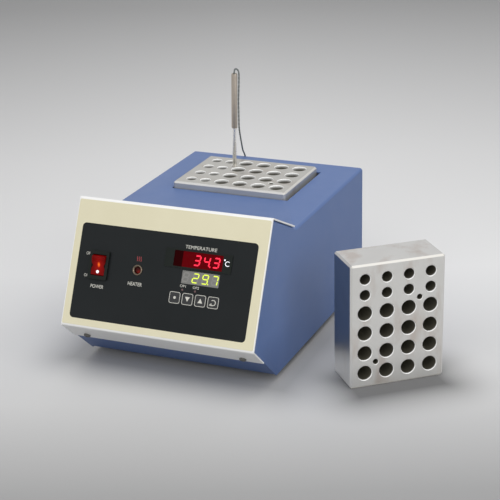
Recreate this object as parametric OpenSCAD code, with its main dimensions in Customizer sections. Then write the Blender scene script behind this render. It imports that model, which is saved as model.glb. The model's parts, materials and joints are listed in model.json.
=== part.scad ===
/* [Cabinet] */
// Outer width of the blue cabinet
body_w = 152; // [140:1:186]
// Depth from the front of the panel to the rear face
body_d = 239; // [225:1:290]
// Height of the flat deck above the cabinet's underside
deck_h = 99.5; // [92:0.5:110]
// Thickness of every folded sheet of the cabinet
sheet = 1.2; // [0.9:0.1:1.5]
// Outer bend radius between deck and sides
edge_r = 2.4; // [1.8:0.1:4]
// Width of the inward returns along the cover's lower edges
return_w = 8; // [6:0.5:10]
// Height of the rubber feet
foot_h = 5; // [4:0.5:8]
// Radius of a rubber foot
foot_r = 6.5; // [5:0.5:8]

/* [Front panel] */
// Lean of the face from the vertical, which is also the fall of the slope behind it
tilt = 25.5; // [22:0.5:29]
// Height of the face, measured along it
face_len = 96; // [92:1:104]
// Height of the face's lower bend above the cabinet's underside
nose_h = 36; // [32:1:40]
// Angle of the undercut below the face
undercut = 41; // [36:1:46]
// Thickness of the white panel
panel_t = 1.2; // [1:0.1:1.5]
// Inner radius of the folds in the white panel
panel_r = 0.6; // [0.5:0.1:1.5]
// How far the panel stands past each side of the cabinet
panel_over = 0.5; // [0.2:0.1:1.5]
// Length of the panel's top flange
top_flange = 46; // [30:1:46]
// Length of the panel's lower flange
low_flange = 24; // [20:1:30]
// Thickness of the printed film on the face
film_t = 0.4; // [0.2:0.1:0.6]

/* [Heating block] */
// Length of a tube block
block_l = 95; // [92:0.5:114]
// Width of a tube block
block_b = 72.5; // [71:0.5:87]
// Thickness of a tube block
block_t = 34; // [31:0.5:41]
// Diameter of a hole for a 1.5 ml tube
large_d = 11; // [9.5:0.1:12.5]
// Diameter of a hole for a 0.5 ml tube
small_d = 8; // [6.6:0.1:9.6]
// Depth of the straight part of a tube hole
straight_h = 17; // [14:0.5:18]
// Depth of the tapered part of a tube hole
taper_h = 12; // [10:0.5:12.5]
// Pitch of the columns of large holes
large_pitch = 15.5; // [15:0.1:18.5]
// Pitch of the two columns of small holes
small_pitch = 12; // [10.5:0.1:14]
// Pitch between the last small and the first large column
mixed_pitch = 14; // [12.5:0.1:16]
// Pitch of the rows
row_pitch = 16.8; // [15:0.1:17]
// Diameter of a thermometer well
thermo_d = 4; // [3.7:0.1:4.8]
// Depth of a thermometer well
thermo_h = 24; // [20:1:28]
// Height of the block above the deck
block_proud = 5.5; // [4:0.5:8]
// Chamfer round the block
block_chamfer = 1.4; // [0.4:0.1:2]
// Depth of the countersink at the mouth of each hole
lead_in = 0.5; // [0.2:0.1:0.8]

/* [Well] */
// Clearance between block and well on each side
well_gap = 0.4; // [0.2:0.1:0.8]
// Thickness of the well's walls
well_wall = 6; // [5:0.5:8]
// Thickness of the well's floor
well_floor = 8; // [7:0.5:10]
// Gap between the block and the deck's cut-out, on average
cutout_gap = 1.7; // [1:0.1:2.4]
// Thickness of the insulation round the well
jacket_t = 9; // [5:0.5:9]

/* [Probe] */
// Diameter of the probe's stem
stem_d = 3.2; // [2.8:0.1:3.5]
// Length of stem that stands above the block
stem_free = 32; // [25:1:40]
// How far the probe leans to the right in its well
probe_lean = 1.4; // [0:0.1:1.8]
// Diameter of the probe's handle tube
handle_d = 4.8; // [4.4:0.1:5.2]
// Length of the handle tube
handle_l = 45; // [40:1:50]
// Diameter of the probe's lead
lead_d = 1.4; // [1:0.1:1.6]

/* [Controls] */
// Width of the rocker switch's bezel
bezel_w = 15.4; // [15:0.1:16]
// Height of the rocker switch's bezel
bezel_h = 21; // [20.5:0.1:22]
// Travel of the rocker between on and off
rocker_travel = 20; // [16:1:22]
// Size of a key's square cap
key_w = 8.8; // [8:0.1:9]
// Pitch of the four keys
key_pitch = 10; // [10:0.1:10.4]
// Travel of a key
key_travel = 0.4; // [0.2:0.05:0.5]

/* [Hidden] */
$fn = 48;
eps = 0.01;
far = 400;
powder_blue = [0.36, 0.45, 0.66];
panel_white = [0.9, 0.9, 0.9];
film_cream = [0.87, 0.85, 0.72];
black = [0.12, 0.12, 0.13];
steel = [0.7, 0.7, 0.7];
bare_aluminium = [0.78, 0.78, 0.76];
lamp_red = [0.8, 0.08, 0.06];
brass = [0.8, 0.65, 0.3];
wool = [0.93, 0.92, 0.88];
board_green = [0.1, 0.4, 0.22];

// The panel's outer corners in side view, as [depth, height] from the panel's front and the bench
face_dir = [sin(tilt), cos(tilt)];
slope_dir = [cos(tilt), -sin(tilt)];
under_dir = [cos(undercut), -sin(undercut)];
panel_low = [0, foot_h + nose_h];
panel_high = panel_low + face_len * face_dir;
flange_back = panel_high + top_flange * slope_dir;
flange_low = panel_low + low_flange * under_dir;

// The cabinet's corners in side view, one panel thickness inside the panel
deck_z = foot_h + deck_h;
body_low = mitre(panel_high, panel_low, flange_low, panel_t);
body_high = mitre(flange_back, panel_high, panel_low, panel_t);
deck_front = [body_high[0] + (body_high[1] - deck_z) / tan(tilt), deck_z];
under_y = body_low[0] + (body_low[1] - foot_h) / tan(undercut);
tray_z = foot_h + sheet;
tray_top = tray_z + sheet;
inner_w = body_w - 2 * sheet;
rear_in = body_d - sheet;
slip = 0.2;

// Block, well and insulation
well_l = block_l + 2 * well_gap;
well_b = block_b + 2 * well_gap;
block_at = [-2.4, 179.3 + body_d - 239];
block_top = deck_z + block_proud;
block_z = block_top - block_t;
cutout_shift = [0.8, 0.8];
well_rim = deck_z - sheet - 2;
well_half = [well_l / 2 + well_wall, well_b / 2 + well_wall];
pad_t = 2.5;
clamp_t = 1.6;
bracket_t = 1.6;
bracket_b = 50;
wool_z = block_z - well_floor - pad_t - clamp_t - 12;
margin_b = (block_b - 3 * row_pitch) / 2;
margin_l = (block_l - small_pitch - mixed_pitch - 3 * large_pitch) / 2;
columns = [0, small_pitch, small_pitch + mixed_pitch,
    small_pitch + mixed_pitch + large_pitch, small_pitch + mixed_pitch + 2 * large_pitch,
    small_pitch + mixed_pitch + 3 * large_pitch];
// Each thermometer well stands between two columns and two rows
thermo_wells = [[margin_l + (columns[1] + columns[2]) / 2, margin_b + 2.5 * row_pitch],
    [margin_l + (columns[4] + columns[5]) / 2, margin_b + 0.5 * row_pitch]];

// The spare block stands on the bench beside the cabinet, its small holes up
spare_corner = [131 + body_w / 2 - 76, 49];
spare_turn = 40;
probe_at = [block_at[0] - block_l / 2 + thermo_wells[0][0], block_at[1] - block_b / 2 + thermo_wells[0][1]];
handle_z = block_top + stem_free;

// The set's middle on the bench, which is the origin
set_right = spare_corner[0] + block_b * cos(spare_turn);
inlet_proud = 3;
home = [(body_w / 2 + panel_over - set_right) / 2, -(body_d + inlet_proud) / 2, 0];

// Controls on the face: across, and up the face from its lower bend
film_w = 151.4;
film_low = 1.6;
film_high = face_len - 2.2;
switch_at = [-52.2, 46.8];
lamp_at = [-21.3, 47];
window_at = [25, 59.4];
window_size = [38, 11.4];
frame_size = [52, 13.6];
green_at = [28.5, 46.6];
green_size = [29, 9.4];
led_at = [[15.8, 37.4], [25.8, 37.4]];
led_r = 0.8;
key_y = 31.2;
key_x = [for (i = [0:3]) 25.8 + (i - 1.5) * key_pitch];
bezel_proud = 2;
switch_w = bezel_w - 2.2;
switch_l = bezel_h - 1.8;
rocker_w = 10.6;
rocker_r = 7.6;
rocker_rest = rocker_travel / 2;
pivot_depth = 3;
board_gap = 12;
board_t = 1.6;
board_at = [25.8, 46];
board_size = [64, 62];
pillar_at = [for (x = [-28, 28], y = [-27, 27]) board_at + [x, y]];
lamp_r = 3.1;

// Rear fittings: across and up
rear_lip = 9;
lip_screw_at = [-17, tray_z + rear_lip - 4];
inlet_at = [38, tray_z + rear_lip + 17];
inlet_flange = [50, 33];
inlet_body = [27.6, 30, 27];
inlet_tail = 6;
inlet_room = 1;
inlet_in = inlet_body[2] + inlet_tail + inlet_room;
socket_y = 5.4;
socket_depth = 17;
drawer_y = -9.6;
drawer_size = [22, 7.6, 25];
fuse_l = 20;
fuse_r = 2.6;
fuse_y = drawer_size[1] / 2 - fuse_r - 0.2;
lead_x = -29;
grommet_z = 36;
grommet_r = 4.5;

// Fasteners: shank radius, and the clearance round it
screw_r = 1.45;
screw_gap = 0.12;
head_r = 2.6;
head_h = 1.8;
foot_inset = 14;
foot_at = [for (x = [-1, 1], y = [under_y + foot_r + foot_inset, body_d - foot_r - foot_inset])
    [x * (body_w / 2 - return_w - foot_r - 2.5), y]];
cover_screw_at = [for (x = [-1, 1], y = [100, body_d - 14]) [x * (body_w - return_w - sheet) / 2, y]];
panel_screw_x = [-62.5, 62.5];
panel_screw_v = 18;
rear_screw_at = [for (x = [-1, 1], z = [32, 62, 92]) [x * (inner_w / 2 - 5), z]];
bracket_screw_y = [-18, 18];
bracket_at = [for (x = [-1, 1], y = bracket_screw_y) block_at + [x * (well_half[0] + 8), y]];
nut_h = 2.4;

// The lead's route by hand, as [x, y, z] from the middle of the panel's front on the bench
lead_high = [[-17.7, 196.1, 186.6], [-17.5, 196.2, 189.2], [-16.6, 196.6, 190.8], [-15.1, 197.2, 190],
    [-14.2, 197.6, 187], [-14.5, 197.8, 178], [-15.2, 198, 165], [-15.4, 198.2, 152], [-16.2, 200, 142],
    [-18.5, 207, 133], [-21.8, 217, 123.5], [-25.5, 228, 114], [-28, 237, 107.6], [-29, 241.5, 103.5],
    [-29, 243.6, 98], [-29, 244, 92]];
lead_low = [[-29, 244, 92], [-29, 244.2, 76], [-29, 245, 60], [-29, 247, 49], [-29, 249, 42],
    [-29, 248.6, 37.6], [-29, 245.6, 36], [-29, 241.8, 36], [-29, 236, 36]];

// A quarter turn to the left of a direction
function left(v) = [-v[1], v[0]];
function unit(v) = v / norm(v);
function turned(v, a) = [v[0] * cos(a) - v[1] * sin(a), v[0] * sin(a) + v[1] * cos(a)];
// The corner b moved in by t, going a, b, c with the inside on the left
function mitre(a, b, c, t) =
    let (n0 = left(unit(b - a)), n1 = left(unit(c - b))) b + t * (n0 + n1) / (1 + n0 * n1);
// The arc round the bend at b on one side of a sheet of thickness t with inner radius r
function bend(a, b, c, r, t, side) =
    let (n0 = left(unit(b - a)), n1 = left(unit(c - b)),
        way = sign(n0[0] * n1[1] - n0[1] * n1[0]),
        angle = way * acos(n0 * n1),
        path_r = way > 0 ? r + t : r,
        middle = mitre(a, b, c, way * path_r),
        arc_r = path_r - way * side)
    [for (i = [0:6]) middle - way * arc_r * turned(n0, angle * i / 6)];
// One side of a folded sheet along a path of corners
function sheet_side(path, r, t, side) =
    let (last = len(path) - 1,
        n0 = left(unit(path[1] - path[0])), n1 = left(unit(path[last] - path[last - 1])))
    concat([path[0] + side * n0],
        [for (i = [1:1:last - 1]) each bend(path[i - 1], path[i], path[i + 1], r, t, side)],
        [path[last] + side * n1]);
function backwards(list) = [for (i = [len(list) - 1:-1:0]) list[i]];

// The whole set moves from the panel's front to the set's middle
module at_home() { translate(home) children(); }

// A side view [depth, height] made as wide as w, about the middle
module across(w) {
    translate([-w / 2, 0, 0]) rotate([90, 0, 90]) linear_extrude(w) children();
}

// A sheet folded along a side-view path, its thickness on the left
module folded(path, t, r, w) {
    across(w) polygon(concat(sheet_side(path, r, t, 0), backwards(sheet_side(path, r, t, t))));
}

// Onto the face: across, up the face, and out of it
module on_face(at = [0, 0], out = 0) {
    translate([0, panel_low[0], panel_low[1]]) rotate([90 - tilt, 0, 0])
        translate([at[0], at[1], out]) children();
}

// Onto the rear panel, seen from behind: up is up and out is out
module on_rear(at, out = 0) {
    translate([at[0], body_d + out, at[1]]) rotate([90, 0, 180]) children();
}

// Onto the undercut, pointing out of it
module on_undercut(x, along) {
    at = panel_low + along * under_dir;
    translate([x, at[0], at[1]]) rotate([180 - undercut, 0, 0]) children();
}

module plate(size, h, r = 0) {
    if (r > 0) {
        linear_extrude(h) rounded(size, r);
    } else {
        translate([-size[0] / 2, -size[1] / 2, 0]) cube([size[0], size[1], h]);
    }
}

// A rectangle with round corners, about its middle
module rounded(size, r) {
    square([size[0] - 2 * r, size[1]], center = true);
    square([size[0], size[1] - 2 * r], center = true);
    for (x = [-1, 1], y = [-1, 1]) {
        translate([x * (size[0] / 2 - r), y * (size[1] / 2 - r)]) circle(r);
    }
}

// A pan-head screw that points down from z = 0, its head above
module screw(length, r = screw_r, head = head_r) {
    translate([0, 0, -length]) cylinder(r = r, h = length + eps);
    difference() {
        intersection() {
            cylinder(r = head, h = head_h);
            translate([0, 0, head_h - 2.2 * head]) sphere(2.2 * head);
        }
        for (a = [0, 90]) {
            rotate(a) translate([-head * 0.6, -0.35, head_h - 0.9]) cube([head * 1.2, 0.7, 1]);
        }
    }
}

module screw_hole(h = 20) {
    translate([0, 0, -h / 2]) cylinder(r = screw_r + screw_gap, h = h);
}

// A box about its middle in plan with every edge chamfered
module chamfered(size, c) {
    intersection() {
        linear_extrude(size[2]) chamfered_outline([size[0], size[1]], c);
        translate([0, size[1] / 2, size[2] / 2]) rotate([90, 0, 0])
            linear_extrude(size[1]) chamfered_outline([size[0], size[2]], c);
        translate([-size[0] / 2, 0, size[2] / 2]) rotate([90, 0, 90])
            linear_extrude(size[0]) chamfered_outline([size[1], size[2]], c);
    }
}

module chamfered_outline(size, c) {
    x = size[0] / 2;
    y = size[1] / 2;
    polygon([[c - x, -y], [x - c, -y], [x, c - y], [x, y - c],
        [x - c, y], [c - x, y], [-x, y - c], [-x, c - y]]);
}

// The cabinet's outside, or its inside at a depth below the surface
module cabinet(depth) {
    w = body_w - 2 * depth;
    r = edge_r - depth;
    translate([0, deck_front[0], deck_front[1]]) rotate([-tilt, 0, 0])
        translate([0, far / 2, -depth]) bar(w, r);
    translate([0, far - 40, deck_z - depth]) bar(w, r);
}

// A bar along the depth, with its top at z = 0 and round upper edges
module bar(w, r) {
    x = w / 2 - r;
    rotate([90, 0, 0]) linear_extrude(far) polygon(concat([[-w / 2, -far], [w / 2, -far]],
        [for (a = [0:15:90]) [x + r * cos(a), r * sin(a) - r]],
        [for (a = [90:15:180]) [r * cos(a) - x, r * sin(a) - r]]));
}

// ---- Cabinet ----

module cover() {
    color(powder_blue) difference() {
        union() {
            difference() {
                intersection() {
                    cabinet(0);
                    across(body_w + 2) polygon(concat([[under_y, foot_h]],
                        backwards(bend(panel_high, panel_low, flange_low, panel_r, panel_t, panel_t)),
                        backwards(bend(flange_back, panel_high, panel_low, panel_r, panel_t, panel_t)),
                        [deck_front, [body_d, deck_z], [body_d, foot_h]]));
                }
                cabinet(sheet);
            }
            for (x = [-1, 1]) {
                translate([x * (body_w - return_w) / 2, (under_y + 4 + body_d) / 2, foot_h])
                    plate([return_w, body_d - under_y - 4], sheet);
                translate([x * (body_w / 2 - 5.5), rear_in - sheet / 2, tray_top + 16])
                    plate([11, sheet], deck_z - sheet - tray_top - 20);
            }
        }
        translate([block_at[0] + cutout_shift[0], block_at[1] + cutout_shift[1], deck_z - 5])
            plate([block_l + 2 * cutout_gap, block_b + 2 * cutout_gap], 10, 0.8);
        for (at = cover_screw_at) {
            translate([at[0], at[1], foot_h]) screw_hole();
        }
        for (at = rear_screw_at) {
            on_rear(at) screw_hole();
        }
    }
}

module base_tray() {
    lip = body_low + 10 * face_dir;
    fold_y = body_low[0] + (body_low[1] - tray_z) / tan(undercut);
    color(powder_blue) difference() {
        folded([lip, body_low, [fold_y, tray_z], [rear_in, tray_z], [rear_in, tray_z + rear_lip]],
            sheet, 0.8, inner_w - 2 * slip);
        for (x = panel_screw_x) {
            on_undercut(x, panel_screw_v) screw_hole(12);
        }
        for (at = concat(cover_screw_at, foot_at)) {
            translate([at[0], at[1], tray_z]) screw_hole(6);
        }
        for (at = bracket_at) {
            translate([at[0], at[1], tray_z]) screw_hole(6);
        }
        for (i = [0:9]) {
            translate([(i - 4.5) * 8, 112, tray_z - 1]) plate([3, 16], 4, 1.4);
        }
        on_rear(lip_screw_at) screw_hole(8);
    }
}

module rear_panel() {
    top = deck_z - sheet - slip;
    mid_z = (tray_z + slip + top) / 2;
    color(powder_blue) difference() {
        on_rear([0, mid_z], -sheet)
            plate([inner_w - 2 * slip, top - tray_z - slip], sheet, edge_r - sheet);
        on_rear(inlet_at, -5) plate([inlet_body[0] + 2 * slip, inlet_body[1] + 2 * slip], 10);
        on_rear([lead_x, grommet_z], -5) cylinder(r = grommet_r - 1, h = 10);
        for (side = [-1, 1], i = [0:6]) {
            on_rear([side * (14 + 7 * i), 74], -5) plate([3, 24], 10, 1.4);
        }
        for (at = rear_screw_at) {
            on_rear(at) screw_hole();
        }
        for (x = [-20, 20]) {
            on_rear([inlet_at[0] + x, inlet_at[1]]) screw_hole();
        }
        on_rear(lip_screw_at) screw_hole();
    }
}

module front_panel() {
    color(panel_white) difference() {
        folded([flange_back, panel_high, panel_low, flange_low], panel_t, panel_r, body_w + 2 * panel_over);
        on_face([0, 0], -5) face_cuts(10);
        for (x = panel_screw_x) {
            on_undercut(x, panel_screw_v) screw_hole(12);
        }
    }
}

// What goes through both the panel and its film
module face_cuts(h) {
    translate([switch_at[0], switch_at[1], 0]) plate([switch_w + slip, switch_l + slip], h);
    translate([lamp_at[0], lamp_at[1], 0]) cylinder(r = lamp_r + 0.1, h = h);
    translate([window_at[0], window_at[1], 0])
        plate([window_size[0] + 3 + slip, window_size[1] + 1.2 + slip], h);
    translate([green_at[0], green_at[1], 0]) plate([green_size[0] + slip, green_size[1] + slip], h);
    for (at = led_at) {
        translate([at[0], at[1], 0]) cylinder(r = led_r + 0.1, h = h);
    }
    for (x = key_x) {
        translate([x, key_y, 0]) plate([key_w + slip, key_w + slip], h);
    }
}

module panel_film() {
    color(film_cream) on_face() difference() {
        translate([0, (film_low + film_high) / 2, 0]) plate([film_w, film_high - film_low], film_t);
        translate([0, 0, -5]) face_cuts(10);
    }
}

module feet() {
    color(black) for (at = foot_at) {
        translate([at[0], at[1], 0]) difference() {
            cylinder(r1 = foot_r - 0.7, r2 = foot_r, h = tray_z);
            translate([0, 0, -1]) cylinder(r = 3.2, h = 3.2);
            cylinder(r = screw_r + screw_gap, h = 10);
        }
    }
}

module foot_screws() {
    color(steel) for (at = foot_at) {
        translate([at[0], at[1], 2.2]) rotate([180, 0, 0]) screw(tray_top + nut_h);
    }
}

module cover_screws() {
    color(steel) for (at = cover_screw_at) {
        translate([at[0], at[1], foot_h]) rotate([180, 0, 0]) screw(2 * sheet + nut_h + 1);
    }
}

module panel_screws() {
    color(black) for (x = panel_screw_x) {
        on_undercut(x, panel_screw_v) screw(7);
    }
}

module rear_screws() {
    color(steel) {
        for (at = rear_screw_at) {
            on_rear(at) screw(6);
        }
        on_rear(lip_screw_at) screw(6);
    }
}

// ---- Rocker switch and lamp ----

module switch_housing() {
    deep = 12;
    color(black) on_face(switch_at, film_t) difference() {
        union() {
            plate([bezel_w, bezel_h], bezel_proud, 1);
            translate([0, 0, -deep]) plate([switch_w, switch_l], deep + eps);
        }
        translate([0, 0, bezel_proud - pivot_depth - 5.6])
            plate([rocker_w + 0.4, 2 * rocker_r + 0.4], pivot_depth + 6);
        translate([-far / 2, 0, bezel_proud - pivot_depth]) rotate([0, 90, 0])
            intersection() {
                cylinder(r = 1.25, h = far);
                translate([-5, -5, far / 2 - switch_w / 2 + 0.4]) cube([10, 10, switch_w - 0.8]);
            }
        for (y = [-6, 0, 6]) {
            translate([0, y, -deep - 1]) plate([4.8, 0.8], 5);
        }
    }
}

module switch_terminals() {
    color(brass) on_face(switch_at, film_t - 12) {
        for (y = [-6, 0, 6]) {
            translate([0, y, -7]) difference() {
                plate([4.8, 0.8], 11);
                translate([0, 2, 3]) rotate([90, 0, 0]) cylinder(r = 0.9, h = 4);
            }
        }
    }
}

// The rocker turns on its two pins; its ends are arcs about them
module rocker() {
    high = 3.9;
    end = sqrt(rocker_r * rocker_r - high * high);
    dip = high - end * tan(rocker_travel / 2);
    color(lamp_red) on_face(switch_at, film_t + bezel_proud - pivot_depth) rotate([rocker_rest, 0, 0]) {
        translate([-rocker_w / 2, 0, 0]) rotate([90, 0, 90]) linear_extrude(rocker_w) intersection() {
            circle(rocker_r);
            polygon([[-10, -2.5], [10, -2.5], [10, high], [end, high], [0, dip], [-end, high], [-10, high]]);
        }
        translate([-rocker_w / 2 - 0.7, 0, 0]) rotate([0, 90, 0]) cylinder(r = 1.2, h = rocker_w + 1.4);
    }
}

module lamp_bezel() {
    color(steel) on_face(lamp_at, film_t) difference() {
        union() {
            cylinder(r1 = 3.9, r2 = 3.5, h = 1);
            translate([0, 0, -16]) cylinder(r = lamp_r, h = 16 + eps);
        }
        translate([0, 0, -15]) cylinder(r = 2.5, h = 20);
    }
}

module lamp_lens() {
    color(lamp_red) on_face(lamp_at, film_t) {
        translate([0, 0, -9]) cylinder(r = 2.5, h = 8);
        intersection() {
            translate([0, 0, -1 - eps]) cylinder(r = 2.5, h = 3);
            translate([0, 0, -2.2]) sphere(2.8);
        }
    }
}

module lamp_nut() {
    color(steel) on_face(lamp_at, -panel_t - 2) difference() {
        cylinder(r = 5.2, h = 2, $fn = 6);
        translate([0, 0, -1]) cylinder(r = lamp_r + 0.1, h = 4);
    }
}

// ---- Temperature controller ----

module display_frame() {
    color(black) on_face(window_at, film_t) difference() {
        union() {
            plate(frame_size, 0.6, 0.6);
            translate([0, 0, -3]) plate([window_size[0] + 3, window_size[1] + 1.2], 3 + eps);
        }
        translate([0, 0, -2]) plate(window_size, 5);
        translate([0, 0, -5]) plate([window_size[0] - 1.2, window_size[1] - 1.2], 5);
    }
}

module red_window() {
    color(lamp_red) on_face(window_at, film_t - 2) plate(window_size, 2.3);
}

// The space from the panel's back to the board
board_face = -panel_t - board_gap;

module red_display() {
    color(black) on_face(window_at, board_face) plate([40, 12.8], film_t - 3 - board_face - 0.1);
}

module green_display() {
    color([0.6, 0.62, 0.55]) on_face(green_at, board_face) plate(green_size, film_t - board_face);
}

module status_leds() {
    color([0.6, 0.3, 0.3]) for (at = led_at) {
        on_face(at, board_face) {
            cylinder(r = led_r, h = film_t - board_face);
            translate([-1.2, -0.8, 0]) cube([2.4, 1.6, 4]);
        }
    }
}

module controller_board() {
    color(board_green) on_face(board_at, board_face - board_t) difference() {
        union() {
            plate(board_size, board_t);
            translate([-14, -8, -14]) cube([24, 20, 14 + eps]);
            translate([16, -20, -9]) cube([10, 34, 9 + eps]);
        }
        for (at = pillar_at) {
            translate([at[0] - board_at[0], at[1] - board_at[1], 0]) screw_hole(10);
        }
    }
}

module board_pillars() {
    color(brass) for (at = pillar_at) {
        on_face(at, board_face) difference() {
            cylinder(r = 2.6, h = board_gap, $fn = 6);
            translate([0, 0, -1]) cylinder(r = screw_r + screw_gap, h = 7);
        }
    }
}

module board_screws() {
    color(steel) for (at = pillar_at) {
        on_face(at, board_face - board_t) rotate([180, 0, 0]) screw(6);
    }
}

// A switch body stands on the board under each key and guides its stem
key_guide = 4.5;
stem_r = 1.5;

module key_switches() {
    color(black) for (x = key_x) {
        on_face([x, key_y], board_face) difference() {
            plate([6, 6], key_guide);
            translate([0, 0, 1]) cylinder(r = stem_r + 0.08, h = 10);
        }
    }
}

module key(i) {
    low = 1 + key_travel + 0.2;
    color(black) on_face([key_x[i], key_y], board_face) {
        translate([0, 0, low]) cylinder(r = stem_r, h = board_gap - low);
        translate([0, 0, board_gap - 1]) plate([key_w, key_w + 2.4], 1);
        translate([0, 0, board_gap - eps]) plate([key_w, key_w], panel_t + film_t + 0.1 + eps);
    }
}

module key_set() { key(0); }
module key_down() { key(1); }
module key_up() { key(2); }
module key_cycle() { key(3); }

// ---- Block, well and heater ----

// The countersink at a hole's mouth
module mouth(d) {
    translate([0, 0, -lead_in]) cylinder(d1 = d, d2 = d + 4 * lead_in, h = 2 * lead_in);
}

// A hole for a tube: straight, then tapered like the tube's tip
module tube_hole(d) {
    translate([0, 0, -straight_h]) cylinder(d = d, h = straight_h + 1);
    translate([0, 0, -straight_h - taper_h]) cylinder(d1 = 0.45 * d, d2 = d, h = taper_h + eps);
    mouth(d);
}

// The same block in the well and on the bench: its top at z = 0, its small holes at low x
module tube_block() {
    color(bare_aluminium) difference() {
        translate([block_l / 2, block_b / 2, -block_t]) chamfered([block_l, block_b, block_t], block_chamfer);
        for (i = [0:5], row = [0:3]) {
            translate([margin_l + columns[i], margin_b + row * row_pitch, 0])
                tube_hole(i < 2 ? small_d : large_d);
        }
        for (at = thermo_wells) {
            translate([at[0], at[1], -thermo_h]) cylinder(d = thermo_d, h = thermo_h + 1);
            translate([at[0], at[1], 0]) mouth(thermo_d);
        }
    }
}

module heating_block() {
    translate([block_at[0] - block_l / 2, block_at[1] - block_b / 2, block_top]) tube_block();
}

module spare_block() {
    translate([spare_corner[0], spare_corner[1], 0]) rotate([0, 90, spare_turn - 90])
        translate([-block_l, 0, 0]) tube_block();
}

module at_well(z) {
    translate([block_at[0], block_at[1], z]) children();
}

module well_box() {
    bottom = block_z - well_floor;
    color(bare_aluminium) at_well(0) difference() {
        translate([0, 0, bottom]) plate(2 * well_half, well_rim - bottom);
        translate([0, 0, block_z]) plate([well_l, well_b], well_rim);
        translate([0, -well_half[1] - 1, bottom + well_floor / 2]) rotate([-90, 0, 0])
            cylinder(r = 2.05, h = 24);
        for (x = [-1, 1], y = bracket_screw_y) {
            translate([x * well_half[0], y, bottom + 14]) rotate([0, 90, 0]) screw_hole(10);
        }
        for (x = [-1, 1], y = [-1, 1]) {
            translate([x * 36, y * 26, bottom]) screw_hole(10);
        }
    }
}

module heater_pad() {
    color([0.75, 0.5, 0.35]) at_well(block_z - well_floor - pad_t) difference() {
        plate([block_l - 4, block_b - 4], pad_t, 2);
        for (x = [-1, 1], y = [-1, 1]) {
            translate([x * 36, y * 26, 0]) screw_hole(10);
        }
    }
}

module heater_clamp() {
    color(steel) at_well(block_z - well_floor - pad_t - clamp_t) difference() {
        plate([block_l - 4, block_b - 4], clamp_t, 2);
        for (x = [-1, 1], y = [-1, 1]) {
            translate([x * 36, y * 26, 0]) screw_hole(10);
        }
    }
}

module clamp_screws() {
    color(steel) at_well(block_z - well_floor - pad_t - clamp_t) for (x = [-1, 1], y = [-1, 1]) {
        translate([x * 36, y * 26, 0]) rotate([180, 0, 0]) screw(pad_t + clamp_t + 4);
    }
}

module thermal_cutout() {
    color(black) at_well(block_z + 2) translate([22, -well_half[1], 0]) rotate([90, 0, 0]) {
        plate([22, 7], 0.8, 3);
        cylinder(r = 7.5, h = 7);
        for (x = [-3.5, 3.5]) {
            translate([x - 1, -2.5, 6]) cube([2, 5, 7]);
        }
    }
}

module well_sensor() {
    color(steel) at_well(block_z - well_floor / 2) translate([0, -well_half[1] - 14, 0]) rotate([-90, 0, 0]) {
        cylinder(r = 2, h = 35);
        cylinder(r = 2.6, h = 6);
    }
}

// An angle on each end of the well carries it off the base tray
module well_brackets() {
    height = block_z - well_floor + 22 - tray_top;
    color(steel) for (x = [-1, 1]) {
        translate([block_at[0] + x * well_half[0], block_at[1], tray_top]) difference() {
            union() {
                translate([x * bracket_t / 2, 0, 0]) plate([bracket_t, bracket_b], height);
                translate([x * 7, 0, 0]) plate([14, bracket_b], bracket_t);
            }
            for (y = bracket_screw_y) {
                translate([0, y, block_z - well_floor + 14 - tray_top]) rotate([0, 90, 0]) screw_hole(10);
                translate([x * 8, y, 0]) screw_hole(6);
            }
        }
    }
}

module well_screws() {
    color(steel) for (x = [-1, 1], y = bracket_screw_y) {
        translate([block_at[0] + x * (well_half[0] + bracket_t), block_at[1] + y, block_z - well_floor + 14])
            rotate([0, x * 90, 0]) screw(bracket_t + 4);
    }
}

module bracket_screws() {
    color(steel) for (at = bracket_at) {
        translate([at[0], at[1], tray_z]) rotate([180, 0, 0]) screw(sheet + bracket_t + nut_h + 1);
    }
}

// Nuts on the tray for the feet, the cover and the brackets
module tray_nuts() {
    color(steel) {
        for (at = concat(foot_at, cover_screw_at)) {
            translate([at[0], at[1], tray_top]) nut();
        }
        for (at = bracket_at) {
            translate([at[0], at[1], tray_top + bracket_t]) nut();
        }
    }
}

module nut() {
    difference() {
        cylinder(r = 3.1, h = nut_h, $fn = 6);
        translate([0, 0, -1]) cylinder(r = screw_r + screw_gap, h = nut_h + 2);
    }
}

module insulation_jacket() {
    inner = [2 * (well_half[0] + bracket_t + slip), 2 * (well_half[1] + slip)];
    outer = inner + [2 * jacket_t, 2 * (jacket_t - slip)];
    low = block_z - well_floor - pad_t - clamp_t;
    color(wool) at_well(0) difference() {
        intersection() {
            translate([0, 0, low]) plate(outer, well_rim - low);
            translate([-block_at[0], 0, 0]) plate([inner_w - 2 * slip, far], far);
        }
        translate([0, 0, low - 1]) plate(inner, far);
        translate([22, -well_half[1] - jacket_t - 10, block_z + 2]) rotate([-90, 0, 0]) {
            cylinder(r = 8.2, h = jacket_t + 11);
            translate([0, 0, jacket_t + 9 - 2]) plate([23, 8], 3.5);
        }
        translate([0, -well_half[1] - jacket_t - 10, block_z - well_floor / 2]) rotate([-90, 0, 0])
            cylinder(r = 3, h = jacket_t + 11);
        for (x = [-1, 1], y = bracket_screw_y) {
            translate([x * (well_half[0] + bracket_t - 1), y, block_z - well_floor + 14])
                rotate([0, x * 90, 0]) cylinder(r = 3.4, h = 4);
        }
    }
}

module insulation_pad() {
    low = wool_z;
    high = block_z - well_floor - pad_t - clamp_t;
    color(wool) at_well(low) difference() {
        plate([2 * well_half[0] - slip, 2 * well_half[1]], high - low);
        for (x = [-1, 1], y = [-1, 1]) {
            translate([x * 36, y * 26, high - low - 2.2]) cylinder(r = 3.4, h = 4);
        }
        translate([inlet_at[0] - block_at[0], body_d - block_at[1] - inlet_in / 2, inlet_at[1] - low])
            plate([inlet_body[0] + 2 * inlet_room, inlet_in], inlet_body[1] / 2 + inlet_room);
    }
}

// ---- Probe and its lead ----

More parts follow.
